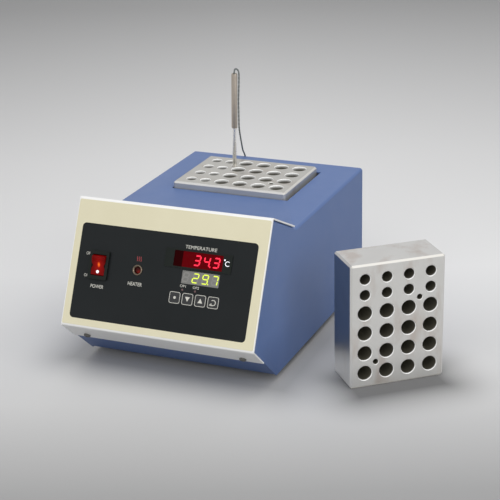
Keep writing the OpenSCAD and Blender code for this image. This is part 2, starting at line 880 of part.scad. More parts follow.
// The probe stands in its well with play, so it leans about the middle of the well's depth
module in_probe_well(z) {
    translate([probe_at[0], probe_at[1], block_top - thermo_h / 2]) rotate([0, probe_lean, 0])
        translate([0, 0, z - block_top + thermo_h / 2]) children();
}

module probe_stem() {
    color(steel) in_probe_well(block_top - thermo_h) {
        translate([0, 0, stem_d / 2]) cylinder(d = stem_d, h = thermo_h + stem_free - stem_d / 2 + 5);
        intersection() {
            translate([0, 0, stem_d / 2]) sphere(d = stem_d);
            cylinder(d = stem_d, h = stem_d / 2 + eps);
        }
    }
}

module probe_handle() {
    color(steel) in_probe_well(handle_z) difference() {
        cylinder(d = handle_d, h = handle_l);
        translate([0, 0, -1]) cylinder(d = stem_d, h = 6);
        translate([0, 0, handle_l - 6]) cylinder(d = handle_d - 1.2, h = 7);
    }
}

// A smooth curve through the points, with n steps between each two
function curve_point(p, i, t) =
    let (a = p[max(i - 1, 0)], b = p[i], c = p[i + 1], d = p[min(i + 2, len(p) - 1)])
    0.5 * (2 * b + (c - a) * t + (2 * a - 5 * b + 4 * c - d) * t * t + (3 * b - a - 3 * c + d) * t * t * t);
function curve(p, n) =
    concat([for (i = [0:len(p) - 2], k = [0:n - 1]) curve_point(p, i, k / n)], [p[len(p) - 1]]);

// A round cord along a route; its rings keep one side to +X
module cord(route, r, sides = 8) {
    last = len(route) - 1;
    rings = [for (i = [0:last])
        let (along = unit(route[min(i + 1, last)] - route[max(i - 1, 0)]),
            side = unit([1, 0, 0] - along[0] * along), up = cross(along, side))
        each [for (k = [0:sides - 1])
            route[i] + r * (cos(360 * k / sides) * side + sin(360 * k / sides) * up)]];
    walls = [for (i = [0:last - 1], k = [0:sides - 1])
        let (a = i * sides + k, b = i * sides + (k + 1) % sides) [a, b, b + sides, a + sides]];
    ends = [[for (k = [sides - 1:-1:0]) k], [for (k = [0:sides - 1]) last * sides + k]];
    polyhedron(rings, concat(walls, ends), convexity = 6);
}

module lead_upper() {
    color(steel) cord(curve(lead_high, 2), lead_d / 2);
}

module lead_lower() {
    color(steel) cord(curve(lead_low, 2), lead_d / 2);
}

module lead_grommet() {
    color(black) on_rear([lead_x, grommet_z], -sheet - 1.6) difference() {
        rotate_extrude() polygon([[lead_d / 2 + 0.3, 0], [grommet_r + 1, 0], [grommet_r + 1, 1.6],
            [grommet_r - 1.1, 1.6], [grommet_r - 1.1, 1.6 + sheet], [grommet_r + 1, 1.6 + sheet],
            [grommet_r - 0.4, 4.4], [lead_d / 2 + 0.3, 4.4]]);
    }
}

// ---- Mains inlet and its fuse drawer ----

module mains_inlet() {
    color(black) on_rear(inlet_at) difference() {
        union() {
            plate(inlet_flange, inlet_proud, 5);
            translate([0, 0, -inlet_body[2]]) plate([inlet_body[0], inlet_body[1]], inlet_body[2] + eps);
        }
        translate([0, socket_y, inlet_proud - socket_depth]) linear_extrude(socket_depth + 1)
            polygon([[-12, 8], [12, 8], [12, -3.5], [7.5, -8], [-7.5, -8], [-12, -3.5]]);
        translate([0, socket_y, -inlet_body[2] - 1]) for (at = [[-7, -2], [7, -2], [0, 2]]) {
            translate([at[0], at[1], 0]) plate([2, 4], inlet_body[2]);
        }
        translate([0, drawer_y, inlet_proud - drawer_size[2] - 0.5])
            plate([drawer_size[0] + slip, drawer_size[1] + slip], drawer_size[2] + 2);
        for (x = [-20, 20]) {
            translate([x, 0, 0]) screw_hole();
        }
    }
}

module inlet_pins() {
    color(brass) on_rear(inlet_at) translate([0, socket_y, 0]) for (at = [[-7, -2], [7, -2], [0, 2]]) {
        translate([at[0], at[1], -inlet_body[2] - inlet_tail])
            plate([2, 4], inlet_body[2] + inlet_tail + inlet_proud - 2);
    }
}

module fuse_drawer() {
    long = drawer_size[2];
    color(black) on_rear(inlet_at, inlet_proud) translate([0, drawer_y, 0]) difference() {
        union() {
            translate([0, 0, -long]) plate([drawer_size[0], drawer_size[1]], long);
            translate([0, 0, -eps]) plate([drawer_size[0] - 8, 2.4], 1.2 + eps);
        }
        translate([0, fuse_y, -long + 2 + fuse_l / 2]) {
            translate([-fuse_r - 0.1, 0, -fuse_l / 2]) cube([2 * fuse_r + 0.2, 10, fuse_l + 0.2]);
            translate([0, 0, -fuse_l / 2]) cylinder(r = fuse_r + 0.1, h = fuse_l + 0.2);
        }
    }
}

module fuse_link() {
    color(steel) on_rear(inlet_at, inlet_proud)
        translate([0, drawer_y + fuse_y, -drawer_size[2] + 2]) {
            cylinder(r = fuse_r - 0.2, h = fuse_l);
            for (z = [0, fuse_l - 5]) {
                translate([0, 0, z]) cylinder(r = fuse_r, h = 5);
            }
        }
}

module inlet_screws() {
    color(steel) for (x = [-20, 20]) {
        on_rear([inlet_at[0] + x, inlet_at[1]], inlet_proud) screw(8);
    }
}

// ---- Power parts on the base tray ----

// The parts stand on the free floor between the undercut and the well's brackets
function free_floor(length) =
    under_y + 0.3 * (block_at[1] - bracket_b / 2 - under_y - length) + length / 2;
sink_base = 4;
sink_fin = 12;
relay_at = [-31, free_floor(60)];

module heatsink() {
    color(bare_aluminium) translate([relay_at[0], relay_at[1], tray_top]) difference() {
        plate([48, 60], sink_base + sink_fin);
        for (i = [0:6]) {
            translate([(i - 3) * 6.4, 0, -1]) plate([4.4, 62], sink_fin + 1);
        }
    }
}

module solid_state_relay() {
    color(black) translate([relay_at[0], relay_at[1], tray_top + sink_base + sink_fin]) difference() {
        plate([44, 58], 22, 2);
        for (y = [-1, 1]) {
            translate([0, y * 24, 14]) plate([38, 12], 10);
        }
    }
}

module transformer() {
    color([0.3, 0.3, 0.32]) translate([18, free_floor(34), tray_top]) {
        translate([0, 0, 5]) plate([40, 16], 24);
        plate([40, 16], 5 + eps);
        translate([0, 0, 7]) plate([26, 34], 20, 2);
    }
}

module terminal_block() {
    color([0.85, 0.85, 0.8]) translate([47, free_floor(58), tray_top]) difference() {
        plate([17, 58], 14);
        for (i = [0:4], x = [-1, 1]) {
            translate([x * 4.5, (i - 2) * 11, 8]) cylinder(r = 2, h = 8);
            translate([x * 7, (i - 2) * 11, 3]) plate([6, 4], 3);
        }
    }
}

module earth_stud() {
    color(brass) translate([-2, under_y + 8, tray_top]) {
        cylinder(r = 2, h = 12);
        cylinder(r = 4, h = 3, $fn = 6);
        translate([0, 0, 4.5]) cylinder(r = 4, h = 2.5, $fn = 6);
    }
}

at_home() cover();
at_home() base_tray();
at_home() rear_panel();
at_home() front_panel();
at_home() panel_film();
at_home() switch_housing();
at_home() switch_terminals();
at_home() rocker();
at_home() lamp_bezel();
at_home() lamp_lens();
at_home() lamp_nut();
at_home() display_frame();
at_home() red_window();
at_home() red_display();
at_home() green_display();
at_home() status_leds();
at_home() controller_board();
at_home() board_pillars();
at_home() board_screws();
at_home() key_switches();
at_home() key_set();
at_home() key_down();
at_home() key_up();
at_home() key_cycle();
at_home() heating_block();
at_home() well_box();
at_home() heater_pad();
at_home() heater_clamp();
at_home() clamp_screws();
at_home() thermal_cutout();
at_home() well_sensor();
at_home() well_brackets();
at_home() well_screws();
at_home() bracket_screws();
at_home() tray_nuts();
at_home() insulation_jacket();
at_home() insulation_pad();
at_home() probe_stem();
at_home() probe_handle();
at_home() lead_upper();
at_home() lead_lower();
at_home() lead_grommet();
at_home() spare_block();
at_home() mains_inlet();
at_home() inlet_pins();
at_home() fuse_drawer();
at_home() fuse_link();
at_home() inlet_screws();
at_home() heatsink();
at_home() solid_state_relay();
at_home() transformer();
at_home() terminal_block();
at_home() earth_stud();
at_home() feet();
at_home() foot_screws();
at_home() cover_screws();
at_home() panel_screws();
at_home() rear_screws();
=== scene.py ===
"""Dry block heater: the looks of every piece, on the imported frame."""
import json
import math
import bmesh
import bpy
from mathutils import Matrix, Vector


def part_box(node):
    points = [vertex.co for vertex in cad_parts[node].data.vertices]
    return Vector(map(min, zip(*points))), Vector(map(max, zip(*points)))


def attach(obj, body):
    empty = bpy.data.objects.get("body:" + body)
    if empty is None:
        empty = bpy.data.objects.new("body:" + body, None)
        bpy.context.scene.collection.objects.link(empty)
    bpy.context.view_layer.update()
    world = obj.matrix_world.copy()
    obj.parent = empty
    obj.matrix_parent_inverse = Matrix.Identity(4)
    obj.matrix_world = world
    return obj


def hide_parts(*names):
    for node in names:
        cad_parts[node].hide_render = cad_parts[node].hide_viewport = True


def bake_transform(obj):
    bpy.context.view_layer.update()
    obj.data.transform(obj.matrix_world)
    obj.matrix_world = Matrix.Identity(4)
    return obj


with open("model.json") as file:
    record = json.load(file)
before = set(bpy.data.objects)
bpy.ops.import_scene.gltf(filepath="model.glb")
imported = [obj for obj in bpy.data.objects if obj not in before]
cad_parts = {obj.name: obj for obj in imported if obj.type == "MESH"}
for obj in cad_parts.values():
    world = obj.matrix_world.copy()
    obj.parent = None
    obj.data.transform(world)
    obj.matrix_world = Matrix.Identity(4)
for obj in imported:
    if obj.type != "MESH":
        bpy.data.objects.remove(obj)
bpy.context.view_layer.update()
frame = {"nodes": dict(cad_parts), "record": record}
body_of = {node: body for body, nodes in frame["record"]["behaviour"]["bodies"].items() for node in nodes}
MM = 0.001
show = bpy.context.scene.collection.objects.link  # puts an object in the scene

# ---- Camera, bench and studio light ----
# A long lens from the front right, a little above the set. A pale bench with a painted pool of light
# round the set and painted contact shadows, a wide weak softbox above, a small one at the right, and the main
# one in front.
yaw, pitch, roll = (math.radians(a) for a in (-22.969, 20.721, -1.329))
ahead = Vector((math.sin(yaw) * math.cos(pitch), math.cos(yaw) * math.cos(pitch), -math.sin(pitch)))
level = Vector((math.cos(yaw), -math.sin(yaw), 0))
upright = level.cross(ahead)
across = math.cos(roll) * level + math.sin(roll) * upright
upward = math.cos(roll) * upright - math.sin(roll) * level
stands_at, focal_length_px, picture_px = (0.39352, -1.00079, 0.47982), 1504.8, 500
camera = bpy.data.objects.new("camera", bpy.data.cameras.new("camera"))
show(camera)
camera.matrix_world = Matrix([
    [across[i], upward[i], -ahead[i], stands_at[i]] for i in range(3)] + [[0, 0, 0, 1]])
camera.data.lens = focal_length_px / picture_px * camera.data.sensor_width
bpy.context.scene.camera = camera
bpy.context.scene.view_settings.view_transform = "Standard"


class Tap:
    """A node's socket that ordinary arithmetic works on; node() adds any other kind of node."""

    def __init__(self, socket):
        self.socket = socket

    def node(self, kind, settings=None, sockets=None, out=0):
        tree = self.socket.id_data
        made = tree.nodes.new(kind if "Node" in kind else "ShaderNode" + kind)
        for name, value in (settings or {}).items():
            if name == "stops":
                ends = made.color_ramp.elements
                ends[0].position, ends[1].position = value[0][0], value[-1][0]
                for at, colour in value[1:-1]:
                    ends.new(at)
                for (at, colour), stop in zip(value, sorted(ends, key=lambda e: e.position)):
                    stop.color = (*colour, 1) if len(colour) == 3 else colour
            else:
                setattr(made, name, value)
        for name, value in (sockets or {}).items():
            for one in value if isinstance(value, list) else [value]:
                if isinstance(one, Tap):
                    tree.links.new(one.socket, made.inputs[name])
                else:
                    made.inputs[name].default_value = one
        return Tap(made.outputs[out])

    def grow(self, kind, settings=None, sockets=None):
        return self.node("GeometryNode" + kind, settings, sockets)

    def math(self, operation, other=0.0, swapped=False):
        first, second = (other, self) if swapped else (self, other)
        return self.node("Math", {"operation": operation}, {0: first, 1: second})

    def __add__(self, other): return self.math("ADD", other)
    def __radd__(self, other): return self.math("ADD", other)
    def __sub__(self, other): return self.math("SUBTRACT", other)
    def __rsub__(self, other): return self.math("SUBTRACT", other, swapped=True)
    def __mul__(self, other): return self.math("MULTIPLY", other)
    def __rmul__(self, other): return self.math("MULTIPLY", other)

    def vector(self, operation, other=None, out=0):
        """Vector maths; out is 1 where the answer is a number."""
        sockets = {0: self, 1: other} if other else {0: self}
        return self.node("VectorMath", {"operation": operation}, sockets, out)

    def point(self, **along):
        """A vector from numbers or taps for X, Y and Z."""
        return self.node("CombineXYZ", {}, along)

    def ramp(self, low, high):
        """0 below low, 1 above high."""
        return self.node("MapRange", {}, {"Value": self, "From Min": low, "From Max": high})

    def tint(self, first, second):
        """The first colour where this is 0, the second where it is 1."""
        pair = [c if isinstance(c, Tap) else (*c, 1) for c in (first, second)]
        return self.node("Mix", {"data_type": "RGBA"}, {0: self, 6: pair[0], 7: pair[1]}, out=2)

    def axis(self, name):
        return self.node("SeparateXYZ", {}, {0: self}, out="XYZ".index(name))

    def speckle(self, grain, detail=2.0, stretch=(1, 1, 1)):
        """Noise of about that grain in millimetres, finer along an axis that is stretched more."""
        spread = self.node("Mapping", {}, {"Vector": self, "Scale": stretch})
        return self.node("TexNoise", {}, {"Vector": spread, "Scale": 1 / (grain * MM), "Detail": detail})

    def relief(self, height):
        """A bump of this height in millimetres."""
        return self.node("Bump", {}, {"Height": self, "Strength": 1.0, "Distance": height * MM})


def new_finish(name, **plain):
    """A material with its shader's plain values, a feeder for its sockets, and the place on the piece."""
    made = bpy.data.materials.new(name)
    made.use_nodes = True
    shader = made.node_tree.nodes["Principled BSDF"]
    for socket, value in plain.items():
        shader.inputs[socket.replace("_", " ")].default_value = value

    def feed(**taps):
        for socket, tap in taps.items():
            made.node_tree.links.new(tap.socket, shader.inputs[socket.replace("_", " ")])

    return made, feed, Tap(made.node_tree.nodes.new("ShaderNodeTexCoord").outputs["Object"])


bench_top, feed, place = new_finish("pale_bench", Roughness=0.85, Specular_IOR_Level=0.1)
# Painted pool of light: the bench's grey falls off away from a spot behind the set and towards the sides.
from_pool = place.vector("SUBTRACT", (-0.08, 0.12, 0))
away, aside = (from_pool.vector("DOT_PRODUCT", way, 1) for way in ((-0.390, 0.921, 0), (0.921, 0.390, 0)))
greys = ((-0.6, 0.23), (-0.385, 0.40), (-0.25, 0.70), (0.0, 0.95), (0.33, 0.86), (1.14, 0.52), (2.2, 0.34))
nearest, farthest = greys[0][0], greys[-1][0]
stops = [((at - nearest) / (farthest - nearest), (grey,) * 3) for at, grey in greys]
shade = place.node("ValToRGB", {"stops": stops}, {0: away.ramp(nearest, farthest)})
shade = (aside.math("ABSOLUTE").ramp(0.0, 0.5) * 0.25).tint(shade, (0.30, 0.30, 0.30))
path = place.node("LightPath")
pale = place.speckle(400).tint((0.93, 0.93, 0.93), (0.97, 0.97, 0.97))
# Painted contact shadows round the cabinet's footprint and the loose block's, weaker in what the metals
# mirror.
painted_shadow_colour = (0.05, 0.05, 0.052)
for middle, turn, half, depth in (((-0.055, 0.008, 0), 0, (0.086, 0.098, 0), 0.42),
                                  ((0.102, -0.049, 0), 50, (0.015, 0.033, 0), 0.75)):
    beside = place.node("VectorRotate", {"rotation_type": "Z_AXIS"}, {
        "Vector": place, "Center": middle, "Angle": math.radians(turn)})
    outside = beside.vector("SUBTRACT", middle).vector("ABSOLUTE").vector("SUBTRACT", half)
    painted_shadow_mask = 1 - outside.vector("MAXIMUM", (0, 0, 0)).vector("LENGTH", out=1).ramp(0.0, 0.05)
    painted_shadow_mask = painted_shadow_mask * painted_shadow_mask * depth
    shade = painted_shadow_mask.tint(shade, painted_shadow_colour)
    pale = (painted_shadow_mask * 0.4).tint(pale, painted_shadow_colour)
# For bounced light the bench is dark grey, painted shade on the set's lower sides; in reflections it is
# almost white, a painted brightening of what the metals mirror.
mirrored = Tap(path.socket.node.outputs["Is Glossy Ray"])
feed(Base_Color=mirrored.tint(path.tint((0.24, 0.24, 0.24), shade), pale))
bench_mesh = bpy.data.meshes.new("bench")
reach = 8
corners = [(x * reach, y * reach, 0) for x, y in ((-1, -1), (1, -1), (1, 1), (-1, 1))]
bench_mesh.from_pydata(corners, [], [range(4)])
bench_mesh.materials.append(bench_top)
bench = bpy.data.objects.new("bench", bench_mesh)
show(bench)

for lamp_name, place_at, aim, size, watts in (
    ("softbox_above", (0.0, 0.32, 1.40), (-0.02, 0.05, 0.05), 2.4, 11.0),
    ("softbox_right", (1.6, -0.5, 0.8), (0, 0, 0.08), 1.0, 7.0),
    ("softbox_front", (0.35, -1.85, 1.10), (0, 0, 0.1), 3.0, 42.0),
):
    light = bpy.data.objects.new(lamp_name, bpy.data.lights.new(lamp_name, "AREA"))
    light.data.energy, light.data.size = watts, size
    light.location = place_at
    light.rotation_euler = (Vector(aim) - Vector(place_at)).to_track_quat("-Z", "Y").to_euler()
    light.visible_glossy = lamp_name != "softbox_front"  # it would clip on bare metal
    show(light)

room = bpy.data.worlds.new("studio_room")
room.use_nodes = True
backdrop = room.node_tree.nodes["Background"]
backdrop.inputs["Color"].default_value = (0.70, 0.70, 0.71, 1)
mirrored = Tap(room.node_tree.nodes.new("ShaderNodeLightPath").outputs["Is Glossy Ray"])
room.node_tree.links.new((0.40 + 0.80 * mirrored).socket, backdrop.inputs["Strength"])
bpy.context.scene.world = room

# ---- Probe lead ----
# Two thin grey jacketed wires twisted together, 1.4 mm over both. They leave the probe's
# top in a small loop, come down over the deck's rear edge and enter a grommet at the back.
home = Vector((-55.02, -121.0, 0.0))  # under the middle of the cabinet's nose; sizes from it are in mm
lead_high = [(-17.7, 196.1, 186.6), (-17.5, 196.2, 189.2), (-16.6, 196.6, 190.8), (-15.1, 197.2, 190),
             (-14.2, 197.6, 187), (-14.5, 197.8, 178), (-15.2, 198, 165), (-15.4, 198.2, 152),
             (-16.2, 200, 142), (-18.5, 207, 133), (-21.8, 217, 123.5), (-25.5, 228, 114),
             (-28, 237, 107.6), (-29, 241.5, 103.5), (-29, 243.6, 98), (-29, 244, 92)]
lead_low = [(-29, 244, 92), (-29, 244.2, 76), (-29, 245, 60), (-29, 247, 49), (-29, 249, 42),
            (-29, 248.6, 37.6), (-29, 245.6, 36), (-29, 241.8, 36), (-29, 236, 36)]


def new_piece(name, mesh, finish=None):
    """An object for a finished mesh, at the origin."""
    piece = bpy.data.objects.new(name, mesh)
    show(piece)
    if finish:
        mesh.materials.append(finish)
    return piece


def smoothed(mesh, sharp):
    """Round shading, with edges sharper than that angle kept."""
    mesh.shade_smooth()
    mesh.set_sharp_from_angle(angle=math.radians(sharp))
    return mesh


def even_line(route, step):
    """A Catmull-Rom line through the route's points, in metres, in steps of about that many millimetres."""
    p = [Vector(q) for q in route]
    line = []
    for i in range(len(p) - 1):
        a, b, c, d = p[max(i - 1, 0)], p[i], p[i + 1], p[min(i + 2, len(p) - 1)]
        pieces = max(2, round((c - b).length / step))
        for t in (k / pieces for k in range(pieces)):
            line.append(0.5 * (2 * b + (c - a) * t + (2 * a - 5 * b + 4 * c - d) * t * t
                               + (3 * b - a - 3 * c + d) * t ** 3))
    return [(q + home) * MM for q in line + [p[-1]]]


lead_thickness, twist_pitch = 1.4, 7.0


def twisted_wires(name, route, finish):
    """Two wires twisted about a route, as one skin of two lobes; gives the piece, its line and its length."""
    line = even_line(route, 0.7)
    work = bmesh.new()
    sides, run, rings = 14, 0.0, []
    for i, point in enumerate(line):
        if i:
            run += (point - line[i - 1]).length / MM
        along = (line[min(i + 1, len(line) - 1)] - line[max(i - 1, 0)]).normalized()
        side = (Vector((1, 0, 0)) - along.x * along).normalized()
        top = along.cross(side)
        ring = []
        for k in range(sides):
            angle = 2 * math.pi * k / sides
            lobe = lead_thickness / 2 * MM * (0.62 + 0.38 * abs(math.cos(angle)) ** 0.8)
            angle += 2 * math.pi * run / twist_pitch
            ring.append(work.verts.new(point + lobe * (math.cos(angle) * side + math.sin(angle) * top)))
        rings.append(ring)
    for low, high in zip(rings, rings[1:]):
        for k in range(sides):
            work.faces.new((low[k], low[(k + 1) % sides], high[(k + 1) % sides], high[k]))
    work.faces.new(reversed(rings[0]))
    work.faces.new(rings[-1])
    mesh = bpy.data.meshes.new(name)
    work.to_mesh(mesh)
    length = sum((b - a).length for a, b in zip(line, line[1:]))
    return new_piece(name, smoothed(mesh, 60), finish), line, length


def grained(name, drift, dark, light, bump=None, gloss=None, glow=None, **plain):
    """A finish whose colour drifts from dark to light over a noise (grain, detail). Where given, the bump
    is (height, grain, detail), the roughness (least, spread, grain, detail), the glow two colours."""
    made, feed, place = new_finish(name, **plain)
    feed(Base_Color=place.speckle(*drift).tint(dark, light))
    if bump:
        feed(Normal=place.speckle(*bump[1:]).relief(bump[0]))
    if gloss:
        feed(Roughness=gloss[0] + gloss[1] * place.speckle(*gloss[2:]))
    if glow:
        feed(Emission_Color=place.speckle(*glow[0]).tint(*glow[1:]))
    return made


wire_jacket = grained("wire_jacket", (3,), (0.10, 0.115, 0.115), (0.17, 0.185, 0.18),
                      (0.02, 0.4), Roughness=0.42)
for name, node, route, body_below, body_above in (
        ("probe_lead_upper", "lead_upper", lead_high, "tube_block", "probe"),
        ("probe_lead_lower", "lead_lower", lead_low, "cabinet", "tube_block")):
    lead, line, length = twisted_wires(name, route, wire_jacket)
    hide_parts(node)
    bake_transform(lead)

# ---- Folded cabinet ----
# Cover, base tray and rear panel of 1.2 mm mild steel sheet, cut, punched and folded,
# then powder coated in a satin blue with a fine orange-peel skin.
powder_blue, feed, place = new_finish("powder_coat_blue", Specular_IOR_Level=0.25)
# Painted shade: the blue darkens towards the bottom of the cabinet's front, under the nose.
painted_shade_low_front = (1 - place.axis("Z").ramp(0.006, 0.042)) * (1 - place.axis("Y").ramp(-0.095, -0.030)) * 0.95
feed(Base_Color=painted_shade_low_front.tint(place.speckle(60, 4).tint((0.097, 0.166, 0.370), (0.112, 0.185, 0.400)),
                               (0.025, 0.065, 0.19)),
     Roughness=0.40 + 0.10 * place.speckle(14, 3),
     Normal=place.speckle(1.1, 3).relief(0.018))


sharp_bend = 30


def dressed(node, finish, edge):
    """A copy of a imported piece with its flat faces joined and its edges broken, in its real finish."""
    work = bmesh.new()
    work.from_mesh(frame["nodes"][node].data)
    bmesh.ops.remove_doubles(work, verts=work.verts, dist=2e-6)
    bmesh.ops.dissolve_limit(work, angle_limit=math.radians(0.4), verts=work.verts, edges=work.edges)
    mesh = bpy.data.meshes.new(node + "_finished")
    work.to_mesh(mesh)
    piece = new_piece(mesh.name, smoothed(mesh, sharp_bend), finish)
    bevel = piece.modifiers.new("broken_edges", "BEVEL")
    bevel.width, bevel.segments, bevel.angle_limit = edge * MM, 2, math.radians(sharp_bend)
    bevel.limit_method, bevel.harden_normals, bevel.use_clamp_overlap = "ANGLE", True, True
    piece.modifiers.new("flat_faces", "WEIGHTED_NORMAL").keep_sharp = True
    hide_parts(node)
    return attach(piece, body_of[node])


for sheet in ("cover", "base_tray", "rear_panel"):
    dressed(sheet, powder_blue, 0.25)

# ---- White front panel ----
# One folded sheet that wraps the cabinet's nose: the face, a flange over the slope and
# one under the front, in white powder coat, screwed through the lower flange.
powder_white = grained("powder_coat_white", (40, 3), (0.86, 0.86, 0.85), (0.90, 0.90, 0.89),
                       (0.012, 1.0, 3), (0.34, 0.10, 10, 3))
dressed("front_panel", powder_white, 0.25)

# ---- Printed film ----
# One polyester label, 0.4 mm thick, bonded to the face. It is screen printed in two
# colours, a cream border round a charcoal field, with plain lettering in warm grey.
nose_height, face_lean = 41, 25.5


def spin(degrees, axis):
    return Matrix.Rotation(math.radians(degrees), 4, axis)


face = (Matrix.Translation((home + Vector((0, 0, nose_height))) * MM) @ spin(90 - face_lean, "X")
        @ Matrix.Scale(MM, 4))


def rounded(width, height, radius, at):
    """The outline of a rectangle with round corners about a point."""
    return [(at[0] + x * (width / 2 - radius) + radius * math.cos(math.radians(turn)),
             at[1] + y * (height / 2 - radius) + radius * math.sin(math.radians(turn)))
            for x, y, start in ((1, 1, 0), (-1, 1, 90), (-1, -1, 180), (1, -1, 270))
            for turn in range(start, start + 91, 15)]


def disc(radius, at=(0, 0), sides=36):
    """A circle about a point, as an outline."""
    turns = [2 * math.pi * k / sides for k in range(sides)]
    return [(at[0] + radius * math.cos(turn), at[1] + radius * math.sin(turn)) for turn in turns]


def flattened(curve, low, high, plane):
    """A flat curve or text as a thin solid between two heights above a plane, as a mesh in its place."""
    curve.extrude = (high - low) / 2
    shape = bpy.data.objects.new("flat_shape", curve)
    mesh = bpy.data.meshes.new_from_object(shape)
    bpy.data.objects.remove(shape)
    mesh.transform(plane @ Matrix.Translation((0, 0, (high + low) / 2)))
    return mesh


def outlined(loops, low, high, plane):
    """A flat solid whose outlines cut holes in each other."""
    curve = bpy.data.curves.new("outlines", "CURVE")
    curve.dimensions, curve.fill_mode = "2D", "BOTH"
    for loop in loops:
        spline = curve.splines.new("POLY")
        spline.points.add(len(loop) - 1)
        spline.points.foreach_set("co", [c for x, y in loop for c in (x, y, 0, 1)])
        spline.use_cyclic_u = True
    return flattened(curve, low, high, plane)


def lettered(words, middle, width, height, low, high, weight=0.0):
    """Plain lettering of that width and height about a point of the face."""
    curve = bpy.data.curves.new("lettering", "FONT")
    curve.body, curve.size, curve.offset = words, 1.0, weight
    shape = bpy.data.objects.new("lettering", curve)
    mesh = bpy.data.meshes.new_from_object(shape)
    bpy.data.objects.remove(shape)
    spans = [(min(v.co[i] for v in mesh.vertices), max(v.co[i] for v in mesh.vertices)) for i in (0, 1)]
    bpy.data.meshes.remove(mesh)
    fit = [size / (b - a) for size, (a, b) in zip((width, height), spans)]
    shift = [at - k * (a + b) / 2 for at, k, (a, b) in zip(middle, fit, spans)]
    return flattened(curve, low, high, face @ Matrix.Translation((*shift, 0)) @ Matrix.Diagonal((*fit, 1, 1)))


def joined(name, meshes, *finishes):
    """One piece from meshes in their places, each paired with the number of its finish."""
    work = bmesh.new()
    for mesh, which in meshes:
        before = len(work.faces)
        work.from_mesh(mesh)
        work.faces.ensure_lookup_table()
        for face_made in work.faces[before:]:
            face_made.material_index = which
    mesh = bpy.data.meshes.new(name)
    work.to_mesh(mesh)
    for finish in finishes:
        mesh.materials.append(finish)
    return new_piece(name, smoothed(mesh, 30))


def set_in(piece, body, *nodes):
    """The piece stands for those CAD nodes and moves with that body."""
    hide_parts(*nodes)
    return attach(piece, body)


film_cream = grained("film_cream", (25, 3), (0.69, 0.645, 0.455), (0.75, 0.705, 0.515),
                     (0.006, 0.5, 2), Roughness=0.42)
film_charcoal = grained("film_charcoal", (35, 4), (0.009, 0.011, 0.0115), (0.0145, 0.0165, 0.0175),
                        (0.008, 0.35, 2), (0.34, 0.14, 18, 3), Specular_IOR_Level=0.15)
film_ink = grained("film_ink_warm_grey", (1.5, 3), (0.56, 0.55, 0.49), (0.70, 0.69, 0.63), Roughness=0.5)
heat_ink = grained("film_ink_red", (1.5, 3), (0.26, 0.035, 0.04), (0.38, 0.05, 0.055), Roughness=0.5)

film_top = 0.4
rocker_at, lamp_at, red_row_at, green_row_at = (-52.2, 46.8), (-21.3, 47), (25, 59.4), (28.5, 46.6)
led_spots = [(x, 37.4) for x in (15.8, 25.8)]
key_spots = [(25.8 + 10 * (i - 1.5), 31.2) for i in range(4)]
border_outline, field_outline = rounded(151.4, 92.2, 1, (0, 47.7)), rounded(139.5, 70.3, 3, (-0.75, 41.65))
cut_outs = ([rounded(13.4, 19.4, 0.5, rocker_at), disc(3.2, lamp_at),
             rounded(41.2, 12.8, 0.3, red_row_at), rounded(29.2, 9.6, 0.3, green_row_at)]
            + [disc(0.9, spot) for spot in led_spots] + [rounded(9, 9, 0.4, spot) for spot in key_spots])
film = joined("printed_film", [
    (outlined([border_outline, field_outline], 0, film_top, face), 0),
    (outlined([field_outline] + cut_outs, 0, film_top, face), 1)], film_cream, film_charcoal)
set_in(film, "cabinet", "panel_film")


def wavy(x, y, height, stroke, sway):
    """One wavy upright stroke, as an outline."""
    side = [(sway * math.sin(2 * math.pi * k / 12), height * (k / 12 - 0.5)) for k in range(13)]
    return ([(x + dx - stroke / 2, y + dy) for dx, dy in side]
            + [(x + dx + stroke / 2, y + dy) for dx, dy in reversed(side)])


sunk, ink = 0.01, 0.03
words = [("OFF", (-62.0, 54.6), 4.3, 2.1, 0.0), ("ON", (-61.6, 38.5), 3.9, 2.1, 0.0),
         ("POWER", (-51.7, 31.3), 10.4, 2.6, 0.004), ("HEATER", (-21.8, 36.8), 11.2, 2.6, 0.004),
         ("TEMPERATURE", (25.8, 68.3), 24.6, 2.5, 0.0),
         ("OP1", (15.9, 40.1), 4.6, 1.8, 0.0), ("OP2", (26.1, 40.0), 4.8, 1.8, 0.0)]
prints = [(lettered(text, middle, wide, high, film_top - sunk, film_top + ink, bold), 0)
          for text, middle, wide, high, bold in words]
prints.append((outlined([wavy(-21.2 + dx, 55.2, 3.4, 0.48, 0.25) for dx in (-1.45, 0, 1.45)],
                        film_top - sunk, film_top + ink, face), 1))
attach(joined("film_lettering", prints, film_ink, heat_ink), "cabinet")

# ---- Rocker switch ----
# A snap-in mains rocker: a black moulded frame that clips into the panel, brass blade
# terminals behind it, and a translucent red rocker with a neon lamp inside, ribbed at its top.
black_moulding = grained("black_moulding", (8, 3), (0.004, 0.006, 0.005), (0.008, 0.011, 0.009),
                         (0.012, 0.3, 2), (0.36, 0.12, 5, 3), Specular_IOR_Level=0.2)
dressed("switch_housing", black_moulding, 0.35)

frame_proud, axle_below, half_swing = 2, 3, 10
rocker_seat = (face @ Matrix.Translation((*rocker_at, film_top + frame_proud - axle_below))
               @ spin(half_swing, "X"))
glow_at = rocker_seat @ Vector((0.4, 0.9, 2.9))
rocker_red, feed, place = new_finish("rocker_red", Roughness=0.22, Specular_IOR_Level=0.08,
                                     Emission_Strength=1.0)
from_glow = place.vector("SUBTRACT", glow_at).vector("MULTIPLY", (1.1, 0.62, 0.62)).vector("LENGTH", out=1)
lit, around = 1 - from_glow.ramp(0.0002, 0.0014), 1 - from_glow.ramp(0.001, 0.0052)
from_axle = place.vector("SUBTRACT", rocker_seat.translation)
up_from_axle = from_axle.vector("DOT_PRODUCT", rocker_seat.col[1].xyz.normalized(), 1)
